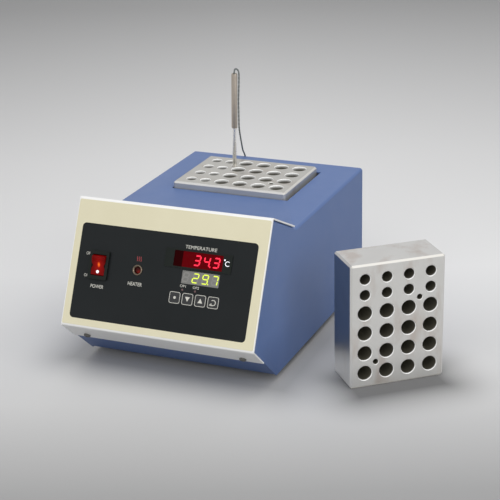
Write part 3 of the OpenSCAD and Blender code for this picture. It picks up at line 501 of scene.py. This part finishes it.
# Painted shade: the rocker's sides at its waist, in the housing's shadow, are almost black and give no glow.
painted_shade_waist = (from_axle.axis("X").math("ABSOLUTE") - up_from_axle.math("ABSOLUTE") * 0.55).ramp(0.0041, 0.0044)
lamp_red = lit.tint(around.tint((0.02, 0, 0), (0.15, 0.002, 0.001)), (1.0, 0.17, 0.015))
feed(Base_Color=painted_shade_waist.tint(place.speckle(2.5, 2).tint((0.11, 0.0015, 0.0015), (0.18, 0.003, 0.0025)),
                           (0.012, 0.002, 0.002)),
     Emission_Color=painted_shade_waist.tint(lamp_red, (0.002, 0, 0)))
# White for the printed degree mark and for a painted highlight on the rocker's lower paddle; the glow on both
# is painted light.
white_dot = grained("white_dot", (0.8,), (0.80, 0.80, 0.82), (0.88, 0.88, 0.90), Roughness=0.4,
                    glow=((0.8,), (0.75, 0.78, 0.85), (0.9, 0.92, 1.0)), Emission_Strength=0.5)


def slab_along_x(side_view, width, plane):
    """A solid of one side view, [up, out], across a width, as a mesh in its place."""
    return outlined([side_view], -width / 2, width / 2, plane @ (spin(90, "Z") @ spin(90, "X")))


end_radius, end_x, end_top, waist_height, tilt = 7.6, 6.523, 3.9, 2.75, 0.1763
arc = [(end_radius * math.cos(math.radians(a)), end_radius * math.sin(math.radians(a)))
       for a in range(-19, 31, 7)]
ribs = [(u + du, waist_height + (u + du) * tilt + dw) for u in (4.9, 4.1, 3.3)
        for du, dw in ((0.28, 0), (0.16, 0.22), (-0.16, 0.22), (-0.28, 0))]
rocker_side = (arc + [(end_x, end_top)] + ribs + [(0, waist_height), (-end_x, end_top)]
               + [(-u, w) for u, w in reversed(arc)])
# Painted highlight: a white spot on the lower paddle where a lamp's reflection shows.
painted_highlight_seat = rocker_seat @ Matrix.Translation((0, -4.3, waist_height + 4.3 * tilt)) @ spin(-half_swing, "X")
rocker = joined("red_rocker", [
    (slab_along_x(rocker_side, 10.6, rocker_seat), 0),
    (slab_along_x(disc(1.2, sides=24), 12, rocker_seat), 0),
    (outlined([disc(1.15)], -0.01, 0.05, painted_highlight_seat), 1)], rocker_red, white_dot)
set_in(rocker, "rocker", "rocker")

# ---- Heater lamp ----
# A small indicator lamp: a turned ring of dull brass plate, a dark red lens that is
# faceted inside, and a nut behind the panel.


def lathed(profile, plane, sides=40):
    """A mesh turned from a profile of [radius, height] about a plane's Z; its ends close on the axis."""
    work = bmesh.new()
    rings = [[work.verts.new(plane @ Vector((x, y, height)))
              for x, y in (disc(radius, sides=sides) if radius else [(0, 0)])] for radius, height in profile]
    for low, high in zip(rings, rings[1:]):
        for k in range(sides):
            corners = [low[k % len(low)], low[(k + 1) % len(low)],
                       high[(k + 1) % len(high)], high[k % len(high)]]
            work.faces.new(list(dict.fromkeys(corners)))
    bmesh.ops.recalc_face_normals(work, faces=work.faces)
    mesh = bpy.data.meshes.new("turned")
    work.to_mesh(mesh)
    return mesh


lamp_seat = face @ Matrix.Translation((*lamp_at, film_top))
ring_plate = grained("lamp_ring_plate", (1.2, 3), (0.15, 0.115, 0.085), (0.28, 0.23, 0.175),
                     gloss=(0.28, 0.2, 0.6, 3), Metallic=1.0)
ring_profile = [(2.5, -15), (3.1, -15.9), (3.1, -0.02), (3.9, 0), (3.88, 0.35), (3.7, 0.8), (3.45, 1.0),
                (3.15, 0.98), (2.95, 0.75), (2.5, 0.1), (2.5, -15)]
set_in(joined("lamp_ring", [(lathed(ring_profile, lamp_seat), 0)], ring_plate), "cabinet", "lamp_bezel")
# The lamp is unlit; the red glow at the lens's lower right is a painted highlight.
painted_glint_at = lamp_seat @ Vector((1.3, -1.2, 0))
lens_red, feed, place = new_finish("lamp_lens_red", Roughness=0.1, Specular_IOR_Level=0.12,
                                   Emission_Strength=1.0)
painted_glint = 1 - place.vector("DISTANCE", painted_glint_at, 1).ramp(0.0002, 0.0022)
feed(Base_Color=place.speckle(0.7, 1).tint((0.012, 0.001, 0.001), (0.04, 0.002, 0.0015)),
     Emission_Color=painted_glint.tint((0.004, 0.0, 0.0), (0.14, 0.007, 0.004)))
lens_profile = [(0, -9), (2.5, -9), (2.5, -1.0), (2.3, -0.35), (1.7, 0.15), (0.9, 0.48), (0, 0.58)]
set_in(joined("lamp_lens_dome", [(lathed(lens_profile, lamp_seat), 0)], lens_red), "cabinet", "lamp_lens")

# ---- Displays ----
# Two rows of seven-segment digits: the upper, red, lies behind a red filter in a moulded
# frame; the lower, yellow green, shows its unlit segments on a pale ground.
dressed("display_frame", black_moulding, 0.15)
window_red, feed, place = new_finish("window_red", Roughness=0.12, Specular_IOR_Level=0.02)
darker = place.axis("X").ramp((home.x + 12.5) * MM, (home.x + 13.1) * MM)
feed(Base_Color=darker.tint((0.022, 0.0005, 0.001), (0.115, 0.001, 0.0028)),
     Normal=place.speckle(6, 1).relief(0.01))
dressed("red_window", window_red, 0.1)
display_grey = grained("display_ground", (9, 3), (0.155, 0.153, 0.142), (0.195, 0.193, 0.18), Roughness=0.3)
dressed("green_display", display_grey, 0.1)


def segments(figures, stroke, wide, high, pitch, first_x, row_y):
    """The segments of a row of figures, as outlines; a full stop follows a figure that ends in a point."""
    slant = 0.14
    spots = {"a": (0, 1, 0), "g": (0, 0, 0), "d": (0, -1, 0),
             "f": (-1, 0.5, 1), "b": (1, 0.5, 1), "e": (-1, -0.5, 1), "c": (1, -0.5, 1)}
    lit_in = {"2": "abged", "3": "abgcd", "4": "fgbc", "7": "abc", "8": "abcdefg", "9": "abcdfg"}
    x, y = (wide - stroke) / 2, (high - stroke) / 2
    loops = []
    for i, figure in enumerate(figures):
        middle = first_x + i * pitch
        for name in lit_in.get(figure[:1], ""):
            across_at, up_at, standing = spots[name]
            half = (y / 2 if standing else x) - 0.12
            bar = [(half, 0), (half - stroke / 2, stroke / 2), (stroke / 2 - half, stroke / 2),
                   (-half, 0), (stroke / 2 - half, -stroke / 2), (half - stroke / 2, -stroke / 2)]
            for_bar = [(b, a) if standing else (a, b) for a, b in bar]
            loops.append([(middle + across_at * x + a + slant * (up_at * y + b), row_y + up_at * y + b)
                          for a, b in for_bar])
        if figure.endswith("."):
            loops.append(disc(stroke * 0.55, (middle + x + stroke * 1.05 - slant * y, row_y - y), 12))
    return loops


digit_red = grained("digit_red", (2,), (0.6, 0.01, 0.03), (0.7, 0.015, 0.04), Roughness=0.3,
                    glow=((3,), (0.80, 0.006, 0.035), (0.95, 0.012, 0.055)), Emission_Strength=1.0)
digit_green = grained("digit_yellow_green", (2,), (0.5, 0.6, 0.04), (0.6, 0.7, 0.06), Roughness=0.3,
                      glow=((3,), (0.58, 0.72, 0.03), (0.68, 0.82, 0.045)), Emission_Strength=0.75)
digit_ghost = grained("digit_unlit", (2,), (0.21, 0.207, 0.192), (0.245, 0.24, 0.225), Roughness=0.35)
window_top, frame_top = film_top + 0.3, film_top + 0.6
red_row = {"wide": 5.2, "high": 7.8, "pitch": 7.4, "first_x": 24.3, "row_y": 59.3}
green_row = {"wide": 4.9, "high": 7.2, "pitch": 7.5, "first_x": 17.2, "row_y": 46.7}
red_digits = joined("red_digits", [
    (outlined(segments(["3", "4.", "3"], 1.05, **red_row),
              window_top - sunk, window_top + ink, face), 0)], digit_red)
green_digits = joined("green_digits", [
    (outlined(segments(["8"] * 4, 1.0, **green_row),
              film_top - sunk, film_top + ink / 2, face), 1),
    (outlined(segments(["", "2", "9.", "7"], 0.8, **green_row),
              film_top, film_top + ink, face), 0)], digit_green, digit_ghost)
unit = joined("unit_mark", [
    (lettered("C", (47.5, 59.7), 3.3, 3.7, frame_top - sunk, frame_top + ink), 0),
    (outlined([disc(0.62, (45.3, 62.2))], frame_top - sunk, frame_top + ink, face), 0)], white_dot)
for piece in (red_digits, green_digits, unit):
    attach(piece, "cabinet")
led_finish = grained("led_lens_unlit", (0.8,), (0.08, 0.04, 0.045), (0.16, 0.09, 0.09), Roughness=0.25)
dressed("status_leds", led_finish, 0.1)

# ---- Keys ----
# Four square keys of black moulding, flush with the film, each printed with a rounded
# outline and its sign. A stem behind each presses a switch on the board.
key_black = grained("key_black", (6, 3), (0.014, 0.015, 0.016), (0.021, 0.022, 0.023),
                    (0.008, 0.3, 2), Roughness=0.4)


def key_signs(x, y):
    """The four signs: a spot, a triangle down, a triangle up, and an arrow that turns."""
    turn = [math.radians(a) for a in range(-150, 131, 14)]
    outer, inner = ([(x + radius * math.cos(a), y - 0.1 + radius * math.sin(a)) for a in turn]
                    for radius in (2.15, 1.6))
    head = [(x - 2.9, y - 2.0), (x - 0.7, y - 2.35), (x - 1.25, y - 0.35)]
    return [[disc(1.0, (x, y))], [[(x - 1.85, y + 1.6), (x, y - 1.75), (x + 1.85, y + 1.6)]],
            [[(x - 1.85, y - 1.6), (x + 1.85, y - 1.6), (x, y + 1.75)]], [outer + inner[::-1], head]]


key_top = film_top + 0.1
for i, (node, body) in enumerate((("key_set", "set_key"), ("key_down", "down_key"),
                                  ("key_up", "up_key"), ("key_cycle", "cycle_key"))):
    spot = key_spots[i]
    dressed(node, key_black, 0.25)
    border = [rounded(8.4, 8.3, 1.5, spot), rounded(7.68, 7.58, 1.15, spot)]
    marks = [(outlined(loops, key_top - sunk, key_top + ink, face), 0)
             for loops in [border] + [[loop] for loop in key_signs(*spot)[i]]]
    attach(joined(node + "_print", marks, film_ink), body)

# ---- Tube blocks ----
# Two blocks sawn from aluminium bar, milled flat, chamfered all round and drilled in one
# setup: 24 tapered tube holes and two thermometer wells. One is in the well, one stands apart.


def new_tree(name, **sizes):
    """A Geometry Nodes tree with a named input for each size; gives its taps and a function that ends it."""
    tree = bpy.data.node_groups.new(name, "GeometryNodeTree")
    tree.interface.new_socket("Seed", in_out="INPUT", socket_type="NodeSocketGeometry")
    tree.interface.new_socket("Finish", in_out="INPUT", socket_type="NodeSocketMaterial")
    for size, value in sizes.items():
        tree.interface.new_socket(size.replace("_", " "), in_out="INPUT",
                                  socket_type="NodeSocketFloat").default_value = value
    tree.interface.new_socket("Shape", in_out="OUTPUT", socket_type="NodeSocketGeometry")
    taps = {socket.name.replace(" ", "_"): Tap(socket) for socket in tree.nodes.new("NodeGroupInput").outputs}

    def end(shape):
        real = shape.grow("RealizeInstances", {}, {"Geometry": shape})
        painted = real.grow("SetMaterial", {}, {"Geometry": real, "Material": taps["Finish"]})
        tree.links.new(painted.socket, tree.nodes.new("NodeGroupOutput").inputs[0])

    return tree, taps, end


def grown(tree, seed_mesh, plane, finish, **sizes):
    """What a tree makes of a seed mesh, as a plain mesh in its place."""
    seed = bpy.data.objects.new("seed", seed_mesh)
    show(seed)
    modifier = seed.modifiers.new("grown", "NODES")
    modifier.node_group = tree
    values = {"Finish": finish} | {size.replace("_", " "): value for size, value in sizes.items()}
    for socket in tree.interface.items_tree:
        if socket.in_out == "INPUT" and socket.name in values:
            modifier[socket.identifier] = values[socket.name]
    graph = bpy.context.evaluated_depsgraph_get()
    mesh = bpy.data.meshes.new_from_object(seed.evaluated_get(graph), depsgraph=graph)
    bpy.data.objects.remove(seed)
    mesh.transform(plane)
    return mesh


def turned_blank(start, heights, radii, sides=32):
    """Inside a tree, a closed turned shape with one ring for each height and radius, numbers or taps."""
    count = len(heights)
    blank = start.grow("MeshCylinder", {"fill_type": "NGON"}, {
        "Vertices": sides, "Side Segments": count - 1, "Radius": 1.0, "Depth": float(count - 1)})
    spot = start.grow("InputPosition")
    ring = start.node("FunctionNodeFloatToInt", {"rounding_mode": "ROUND"},
                      {"Float": spot.axis("Z") + (count - 1) / 2})

    def chosen(values):
        switch = start.grow("IndexSwitch", {"data_type": "FLOAT"})
        body = switch.socket.node
        while len(body.index_switch_items) < count:
            body.index_switch_items.new()
        for k, value in enumerate(values):
            if isinstance(value, Tap):
                body.id_data.links.new(value.socket, body.inputs[str(k)])
            else:
                body.inputs[str(k)].default_value = value
        body.id_data.links.new(ring.socket, body.inputs["Index"])
        return switch

    radius = chosen(radii)
    place_now = start.point(X=spot.axis("X") * radius, Y=spot.axis("Y") * radius, Z=chosen(heights))
    return start.grow("SetPosition", {}, {"Geometry": blank, "Position": place_now})


block_size = (95.0, 72.5, 34.0)
tube_drilling, taps, end = new_tree(
    "tube_drilling", Large_Diameter=11.0, Small_Diameter=8.0, Well_Diameter=4.0, Large_Pitch=15.5,
    Small_Pitch=12.0, Mixed_Pitch=14.0, Row_Pitch=16.8, Straight_Depth=17.0, Taper_Depth=12.0,
    Well_Depth=24.0, Countersink=0.5, Length=block_size[0], Breadth=block_size[1])
large, mixed, small = taps["Large_Pitch"], taps["Mixed_Pitch"], taps["Small_Pitch"]
sink, rows = taps["Countersink"], taps["Row_Pitch"] * 3.0
margin = (taps["Length"] - small - mixed - large * 3.0) * 0.5
half_breadth = taps["Breadth"] * 0.5
drilled_sets = []
for diameter, columns, pitch, from_left in (
        (taps["Large_Diameter"], 4, large, margin + small + mixed + large * 1.5),
        (taps["Small_Diameter"], 2, small, margin + small * 0.5)):
    radius, floor = diameter * 0.5, 0.0 - taps["Straight_Depth"]
    drill = turned_blank(diameter, [floor - taps["Taper_Depth"], floor, 0.0 - sink, sink, 3.0],
                         [radius * 0.45, radius, radius, radius + sink * 2.0, radius + sink * 2.0])
    grid = diameter.grow("MeshGrid", {}, {
        "Size X": pitch * float(columns - 1), "Size Y": rows, "Vertices X": columns, "Vertices Y": 4})
    grid = diameter.grow("Transform", {}, {
        "Geometry": grid, "Translation": diameter.point(X=from_left, Y=half_breadth)})
    drilled_sets.append(diameter.grow("InstanceOnPoints", {}, {
        "Points": grid, "Instance": drill}))
radius = taps["Well_Diameter"] * 0.5
drill = turned_blank(radius, [0.0 - taps["Well_Depth"], 0.0 - sink, sink, 3.0],
                     [radius, radius, radius + sink * 2.0, radius + sink * 2.0])
pair = radius.grow("MeshLine", {}, {
    "Count": 2,
    "Start Location": radius.point(X=margin + small + mixed * 0.5, Y=half_breadth + taps["Row_Pitch"]),
    "Offset": radius.point(X=mixed * 0.5 + large * 2.5, Y=taps["Row_Pitch"] * -2.0)})
drilled_sets.append(radius.grow("InstanceOnPoints", {}, {"Points": pair, "Instance": drill}))
cut = radius.grow("MeshBoolean", {"operation": "DIFFERENCE", "solver": "EXACT"}, {
    "Mesh 1": taps["Seed"],
    "Mesh 2": [one.grow("RealizeInstances", {}, {"Geometry": one}) for one in drilled_sets]})
end(radius.grow("StoreNamedAttribute", {"data_type": "FLOAT_VECTOR", "domain": "POINT"}, {
    "Geometry": cut, "Name": "block_place", "Value": radius.grow("InputPosition")}))

machined, feed, place = new_finish("machined_aluminium", Metallic=1.0)
spot = place.node("Attribute", {"attribute_name": "block_place"}, out=1)
apart = place.axis("X").ramp(0.0, 0.02)
depth = 0.0 - spot.axis("Z")
# Painted shade in the holes and wells: their walls darken with depth, sooner in the block that stands apart.
shade_depth = depth * (1 + 0.9 * apart)
painted_hole_shade = shade_depth.ramp(1.3, 3.4)
well_spots = ((30.25, 53.05), (76.0, 19.45))
for x, y in well_spots:
    from_x, from_y = spot.axis("X") - x, spot.axis("Y") - y
    painted_hole_shade = painted_hole_shade.math("MAXIMUM", 1 - (from_x * from_x + from_y * from_y).ramp(4.2, 4.6))
below_face = depth.ramp(0.06, 0.12)
edge_x, edge_y = ((spot.axis(axis) - size / 2).math("ABSOLUTE").ramp(size / 2 - 1.5, size / 2 - 1.3)
                  for axis, size in zip("XY", block_size))
inside = below_face * (1 - edge_x) * (1 - edge_y) * (1 - depth.ramp(33.0, 33.5))
milled = spot.node("TexNoise", {}, {"Vector": spot.node("Mapping", {}, {
    "Vector": spot, "Scale": (0.12, 2.2, 1.6)}), "Scale": 1.0, "Detail": 5.0})
cloud = spot.node("TexNoise", {}, {"Vector": spot, "Scale": 0.055, "Detail": 5.0, "Roughness": 0.6})
stain = spot.node("TexNoise", {}, {"Vector": spot.node("Mapping", {}, {
    "Vector": spot, "Location": (3.1, 0, 0), "Scale": (0.6, 1.6, 1.6)}), "Scale": 0.04, "Detail": 6.0})
bare = cloud.tint((0.51, 0.505, 0.485), (0.59, 0.585, 0.57))
worn = (stain.ramp(0.50, 0.66) * (0.45 - 0.32 * edge_y)).tint(bare, (0.36, 0.28, 0.23))
# Painted highlight: the upper wall of each hole is almost white and less metallic, a bright crescent.
painted_hole_highlight = inside * (1 - painted_hole_shade) * (1 - shade_depth.ramp(1.2, 2.3))
# Painted brightening: the installed block's sides above the deck are made less metallic so the front lamp
# lights them.
painted_lit_sides = place.axis("Z").ramp(0.0975, 0.0985) * edge_x.math("MAXIMUM", edge_y) * below_face
# Painted highlight: the chamfers at the block's ends are lighter.
painted_chamfer_highlight = edge_x * below_face * (1 - depth.ramp(1.36, 1.42))
heated = ((1 - apart) * (1 - below_face) * 0.5).tint(worn, (0.37, 0.355, 0.305))
skin = painted_hole_highlight.tint(painted_chamfer_highlight.tint(heated, (0.66, 0.645, 0.60)), (0.93, 0.93, 0.91))
feed(Base_Color=(inside * painted_hole_shade).tint(skin, (0.21, 0.196, 0.153)),
     Metallic=1 - 0.38 * inside - 0.42 * painted_lit_sides - 0.32 * painted_hole_highlight,
     Roughness=0.24 + 0.10 * milled + 0.12 * cloud - 0.04 * edge_y,
     Normal=(milled + cloud * 0.4).relief(0.010))


def chamfered_bar(length, breadth, thickness, cut_by):
    """The sawn and chamfered bar, its top at z = 0 and one corner on the axis."""
    work = bmesh.new()
    for inset in ((0, 1, 1), (1, 0, 1), (1, 1, 0)):
        for x in (0, 1):
            for y in (0, 1):
                for z in (0, 1):
                    work.verts.new([abs(end_at * size - cut_by * k) for end_at, size, k in zip(
                        (x, y, z), (length, breadth, thickness), inset)])
    bmesh.ops.convex_hull(work, input=work.verts)
    bmesh.ops.dissolve_limit(work, angle_limit=0.01, verts=work.verts, edges=work.edges)
    bmesh.ops.translate(work, verts=work.verts, vec=(0, 0, -thickness))
    bmesh.ops.recalc_face_normals(work, faces=work.faces)
    mesh = bpy.data.meshes.new("chamfered_bar")
    work.to_mesh(mesh)
    return mesh


def at_home(x, y, z):
    return Matrix.Scale(MM, 4) @ Matrix.Translation(home + Vector((x, y, z)))


block_middle, block_top = (-2.4, 179.3), 110
block_x, block_y = (at - size / 2 for at, size in zip(block_middle, block_size))
block_corner = at_home(block_x, block_y, block_top)
spare_corner = (at_home(131, 49, 0) @ spin(-50, "Z") @ spin(90, "Y")
                @ Matrix.Translation((-block_size[0], 0, 0)))
for name, node, body, corner in (("drilled_block", "heating_block", "tube_block", block_corner),
                                 ("drilled_block_apart", "spare_block", "loose_block", spare_corner)):
    mesh = grown(tube_drilling, chamfered_bar(*block_size, 1.4), corner, machined)
    set_in(new_piece(name, smoothed(mesh, 25)), body, node)

# ---- Well and heater ----
# The block slides into a milled aluminium well on two steel angles. A silicone heater mat is
# clamped under it, a bimetal cut-out and a sensor sit on its front, and ceramic wool wraps it.


def finished(finish, *nodes):
    """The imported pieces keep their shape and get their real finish."""
    for node in nodes:
        for slot in frame["nodes"][node].material_slots:
            slot.material = finish


milling = (3, 4, (1, 8, 8))
well_metal = grained("well_aluminium", (20, 4), (0.50, 0.50, 0.49), (0.62, 0.62, 0.60),
                     (0.012, *milling), (0.34, 0.14, *milling), Metallic=1.0)
dressed("well_box", well_metal, 0.3)
zinc_plate, feed, place = new_finish("zinc_plated_steel", Metallic=1.0)
spangle = place.node("TexVoronoi", {"feature": "F1"}, {"Vector": place, "Scale": 260.0})
feed(Base_Color=spangle.tint((0.50, 0.51, 0.51), (0.66, 0.665, 0.66)),
     Roughness=0.32 + 0.25 * place.speckle(4, 3), Normal=place.speckle(0.6, 3).relief(0.006))
finished(zinc_plate, "well_brackets", "heater_clamp", "lamp_nut", "tray_nuts", "well_sensor")
silicone, feed, place = new_finish("silicone_mat", Roughness=0.6)
weave = place.node("TexWave", {"wave_type": "BANDS"}, {"Vector": place, "Scale": 260.0, "Distortion": 0.4})
feed(Base_Color=place.speckle(12, 3).tint((0.46, 0.16, 0.07), (0.58, 0.22, 0.10)), Normal=weave.relief(0.05))
finished(silicone, "heater_pad")
bakelite = grained("bakelite", (4, 4), (0.018, 0.014, 0.012), (0.035, 0.028, 0.024),
                   (0.02, 0.5, 3), Roughness=0.4)
finished(bakelite, "thermal_cutout")
fibres = (2.2, 6, (1, 1, 3))
ceramic_wool = grained("ceramic_wool", fibres, (0.66, 0.64, 0.58), (0.80, 0.785, 0.74),
                       (0.6, *fibres), Roughness=0.95)
finished(ceramic_wool, "insulation_jacket", "insulation_pad")

# ---- Temperature probe ----
# A stainless stem with a closed round end, swaged into a longer handle tube that is rolled
# in at both ends. It leans a little in its well, and its lead leaves the open top.
well_depth, lean = 24, 1.4
probe_lean = (at_home(block_x + well_spots[0][0], block_y + well_spots[0][1], block_top - well_depth / 2)
              @ spin(lean, "Y") @ Matrix.Translation((0, 0, -well_depth / 2)))
polish, brushing = (1.6, 4, (6, 6, 0.5)), (1.2, 5, (5, 5, 0.4))
stainless = grained("stainless_stem", (7, 3, (1, 1, 0.4)), (0.72, 0.695, 0.65), (0.94, 0.92, 0.875),
                    (0.006, *polish), (0.20, 0.16, *polish), Metallic=1.0)
stem_profile = [(0, 0), (0.8, 0.22), (1.35, 0.75), (1.6, 1.6), (1.6, 61), (0, 61)]
set_in(joined("probe_stem_turned", [(lathed(stem_profile, probe_lean, 28), 0)], stainless),
       "probe", "probe_stem")
# The tube's warm brown tint stands in for what the brushed steel reflects, a painted reflection.
handle_steel = grained("handle_tube_steel", (16, 4, (1, 1, 0.5)), (0.345, 0.30, 0.25), (0.52, 0.46, 0.395),
                       (0.010, *brushing), (0.36, 0.16, *brushing), Metallic=1.0)
handle_profile = [(1.6, 56.2), (2.0, 56.0), (2.3, 56.25), (2.4, 56.8), (2.4, 99.9), (2.33, 100.6),
                  (2.1, 101.0), (1.85, 100.7), (1.8, 99.8), (1.8, 95.2), (1.6, 95), (1.6, 61.2), (1.6, 56.2)]
set_in(joined("probe_handle_tube", [(lathed(handle_profile, probe_lean, 36), 0)], handle_steel),
       "probe", "probe_handle")

# ---- Screws ----
# Cross-recess pan heads: black ones in the panel's lower flange, zinc plated elsewhere.
pan_head_screws, taps, end = new_tree(
    "pan_head_screws", Shank=1.45, Head=2.6, Head_Height=1.8, Length=7.0, Recess=0.9)
head, tall, shank = taps["Head"], taps["Head_Height"], taps["Shank"]
screw = turned_blank(
    head, [0.0 - taps["Length"], 0.5 - taps["Length"], 0.0, 0.0, tall * 0.35, tall * 0.7, tall * 0.92, tall],
    [shank * 0.7, shank, shank, head * 0.97, head, head * 0.9, head * 0.66, head * 0.3], 24)
bars = [head.grow("Transform", {}, {
    "Geometry": head.grow("MeshCube", {}, {
        "Size": head.point(X=head * size_x, Y=head * size_y, Z=taps["Recess"] * 2.0)}),
    "Translation": head.point(Z=tall)}) for size_x, size_y in ((1.2, 0.27), (0.27, 1.2))]
screw = head.grow("MeshBoolean", {"operation": "DIFFERENCE", "solver": "EXACT"},
                  {"Mesh 1": screw, "Mesh 2": bars})
facing = head.grow("InputNamedAttribute", {"data_type": "FLOAT_VECTOR"}, {"Name": "facing"})
end(head.grow("InstanceOnPoints", {}, {
    "Points": taps["Seed"], "Instance": screw,
    "Rotation": head.node("FunctionNodeAlignRotationToVector", {"axis": "Z"}, {"Vector": facing})}))

zinc_screw = grained("zinc_screw", (1.5, 3), (0.48, 0.48, 0.47), (0.66, 0.66, 0.64),
                     (0.006, 0.3, 2), (0.28, 0.2, 1, 3), Metallic=1.0)
black_screw = grained("black_oxide_screw", (1.2, 3), (0.07, 0.07, 0.065), (0.14, 0.14, 0.13),
                      gloss=(0.48, 0.2, 0.8, 3), Metallic=0.3)


def screwed(node, places, length, finish=zinc_screw):
    """The screws of one node: where each head's underside sits, and the way its head faces."""
    seeds = bpy.data.meshes.new(node + "_seeds")
    seeds.from_pydata([spot for spot, way in places], [], [])
    seeds.attributes.new("facing", "FLOAT_VECTOR", "POINT").data.foreach_set(
        "vector", [c for spot, way in places for c in way])
    mesh = grown(pan_head_screws, seeds, at_home(0, 0, 0), finish, Length=length)
    set_in(new_piece(node + "_pan_heads", smoothed(mesh, 40)), "cabinet", node)


cabinet_wide, cabinet_deep, sheet_thick, return_width = 152, 239, 1.2, 8
foot_radius, foot_inset, foot_gap, tab_middle = 6.5, 14, 2.5, 5
under, along_flange = math.radians(41), 18
down_front, backward, downward = (0, -math.sin(under), -math.cos(under)), (0, 1, 0), (0, 0, -1)
flange_y, flange_z = along_flange * math.cos(under), nose_height - along_flange * math.sin(under)
screwed("panel_screws", [((x, flange_y, flange_z), down_front) for x in (-62.5, 62.5)], 7.0, black_screw)
side_x = cabinet_wide / 2 - sheet_thick - tab_middle
screwed("rear_screws", [((x, cabinet_deep, z), backward) for x in (-side_x, side_x) for z in (32, 62, 92)]
        + [((-17, cabinet_deep, 11.2), backward)], 6.0)
screwed("inlet_screws", [((x, cabinet_deep + 3, 32.2), backward) for x in (18, 58)], 8.0)
foot_x = cabinet_wide / 2 - return_width - foot_radius - foot_gap
foot_y = (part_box("feet")[0].y / MM - home.y + foot_radius, cabinet_deep - foot_radius - foot_inset)
screwed("foot_screws", [((x, y, 2.2), downward) for x in (-foot_x, foot_x) for y in foot_y], 9.8)
fold_x = (cabinet_wide - return_width - sheet_thick) / 2
screwed("cover_screws", [((x, y, 5), downward) for x in (-fold_x, fold_x) for y in (100, 225)], 5.8)
finished(zinc_plate, "board_screws", "clamp_screws", "well_screws", "bracket_screws")

# ---- Feet and grommet ----
# Moulded rubber feet with a recess for the screw, and a grommet snapped round the lead.
rubber = grained("black_rubber", (5, 4), (0.012, 0.012, 0.013), (0.026, 0.026, 0.027),
                 (0.03, 0.5, 3), Roughness=0.75)
dressed("feet", rubber, 0.3)
dressed("lead_grommet", rubber, 0.2)

# ---- Mains inlet ----
# A three-pin appliance inlet with a fuse drawer under its socket, moulded in black
# thermoplastic, with tinned brass pins, screwed to the rear panel.
inlet_black = grained("inlet_black", (6, 3), (0.014, 0.014, 0.015), (0.022, 0.022, 0.024),
                      (0.015, 0.25, 2), (0.38, 0.14, 3, 3), Specular_IOR_Level=0.45)
dressed("mains_inlet", inlet_black, 0.3)
dressed("fuse_drawer", inlet_black, 0.3)
tinned = grained("tinned_brass", (2, 3), (0.60, 0.57, 0.50), (0.76, 0.74, 0.68),
                 gloss=(0.24, 0.2, 1, 3), Metallic=1.0)
dressed("inlet_pins", tinned, 0.35)
fuse_glass, feed, place = new_finish("fuse_link")
caps = (place.axis("Y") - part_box("fuse_link")[0].y).math("MODULO", 0.015).ramp(0.0049, 0.0051)
feed(Base_Color=caps.tint((0.62, 0.61, 0.58), (0.72, 0.74, 0.72)), Metallic=1 - caps,
     Roughness=0.16 + 0.2 * place.speckle(1, 3))
finished(fuse_glass, "fuse_link")

# ---- Boards and power parts ----
# Behind the face a glass-epoxy board on brass pillars carries the displays and switches.
# On the tray: a finned heatsink with its relay, a small transformer, terminals and earth.
solder_mask, feed, place = new_finish("green_solder_mask", Roughness=0.3)
tracks = place.node("TexVoronoi", {"feature": "DISTANCE_TO_EDGE"}, {"Vector": place, "Scale": 320.0})
feed(Base_Color=tracks.ramp(0.06, 0.12).tint((0.03, 0.20, 0.09), (0.012, 0.10, 0.045)),
     Normal=tracks.relief(0.03))
finished(solder_mask, "controller_board")
turned_brass = grained("turned_brass", (2, 3), (0.62, 0.44, 0.18), (0.78, 0.60, 0.30),
                       gloss=(0.24, 0.2, 1, 3, (1, 1, 6)), Metallic=1.0)
finished(turned_brass, "board_pillars", "switch_terminals", "earth_stud")
finished(bakelite, "key_switches", "red_display", "solid_state_relay")
drawn = (2, 4, (8, 0.5, 8))
fin_metal = grained("extruded_aluminium", (15, 3), (0.58, 0.58, 0.57), (0.72, 0.72, 0.71),
                    (0.01, *drawn), (0.30, 0.16, *drawn), Metallic=1.0)
finished(fin_metal, "heatsink")
laminations, feed, place = new_finish("steel_laminations", Metallic=0.6)
sheets = place.node("TexWave", {"wave_type": "BANDS", "bands_direction": "Z"},
                    {"Vector": place, "Scale": 320.0})
feed(Base_Color=sheets.tint((0.10, 0.10, 0.105), (0.20, 0.20, 0.205)), Roughness=0.5 + 0.1 * place.speckle(2),
     Normal=sheets.relief(0.08))
finished(laminations, "transformer")
nylon = grained("terminal_nylon", (5, 3), (0.62, 0.60, 0.52), (0.72, 0.70, 0.62),
                (0.02, 0.5, 2), Roughness=0.5)
finished(nylon, "terminal_block")
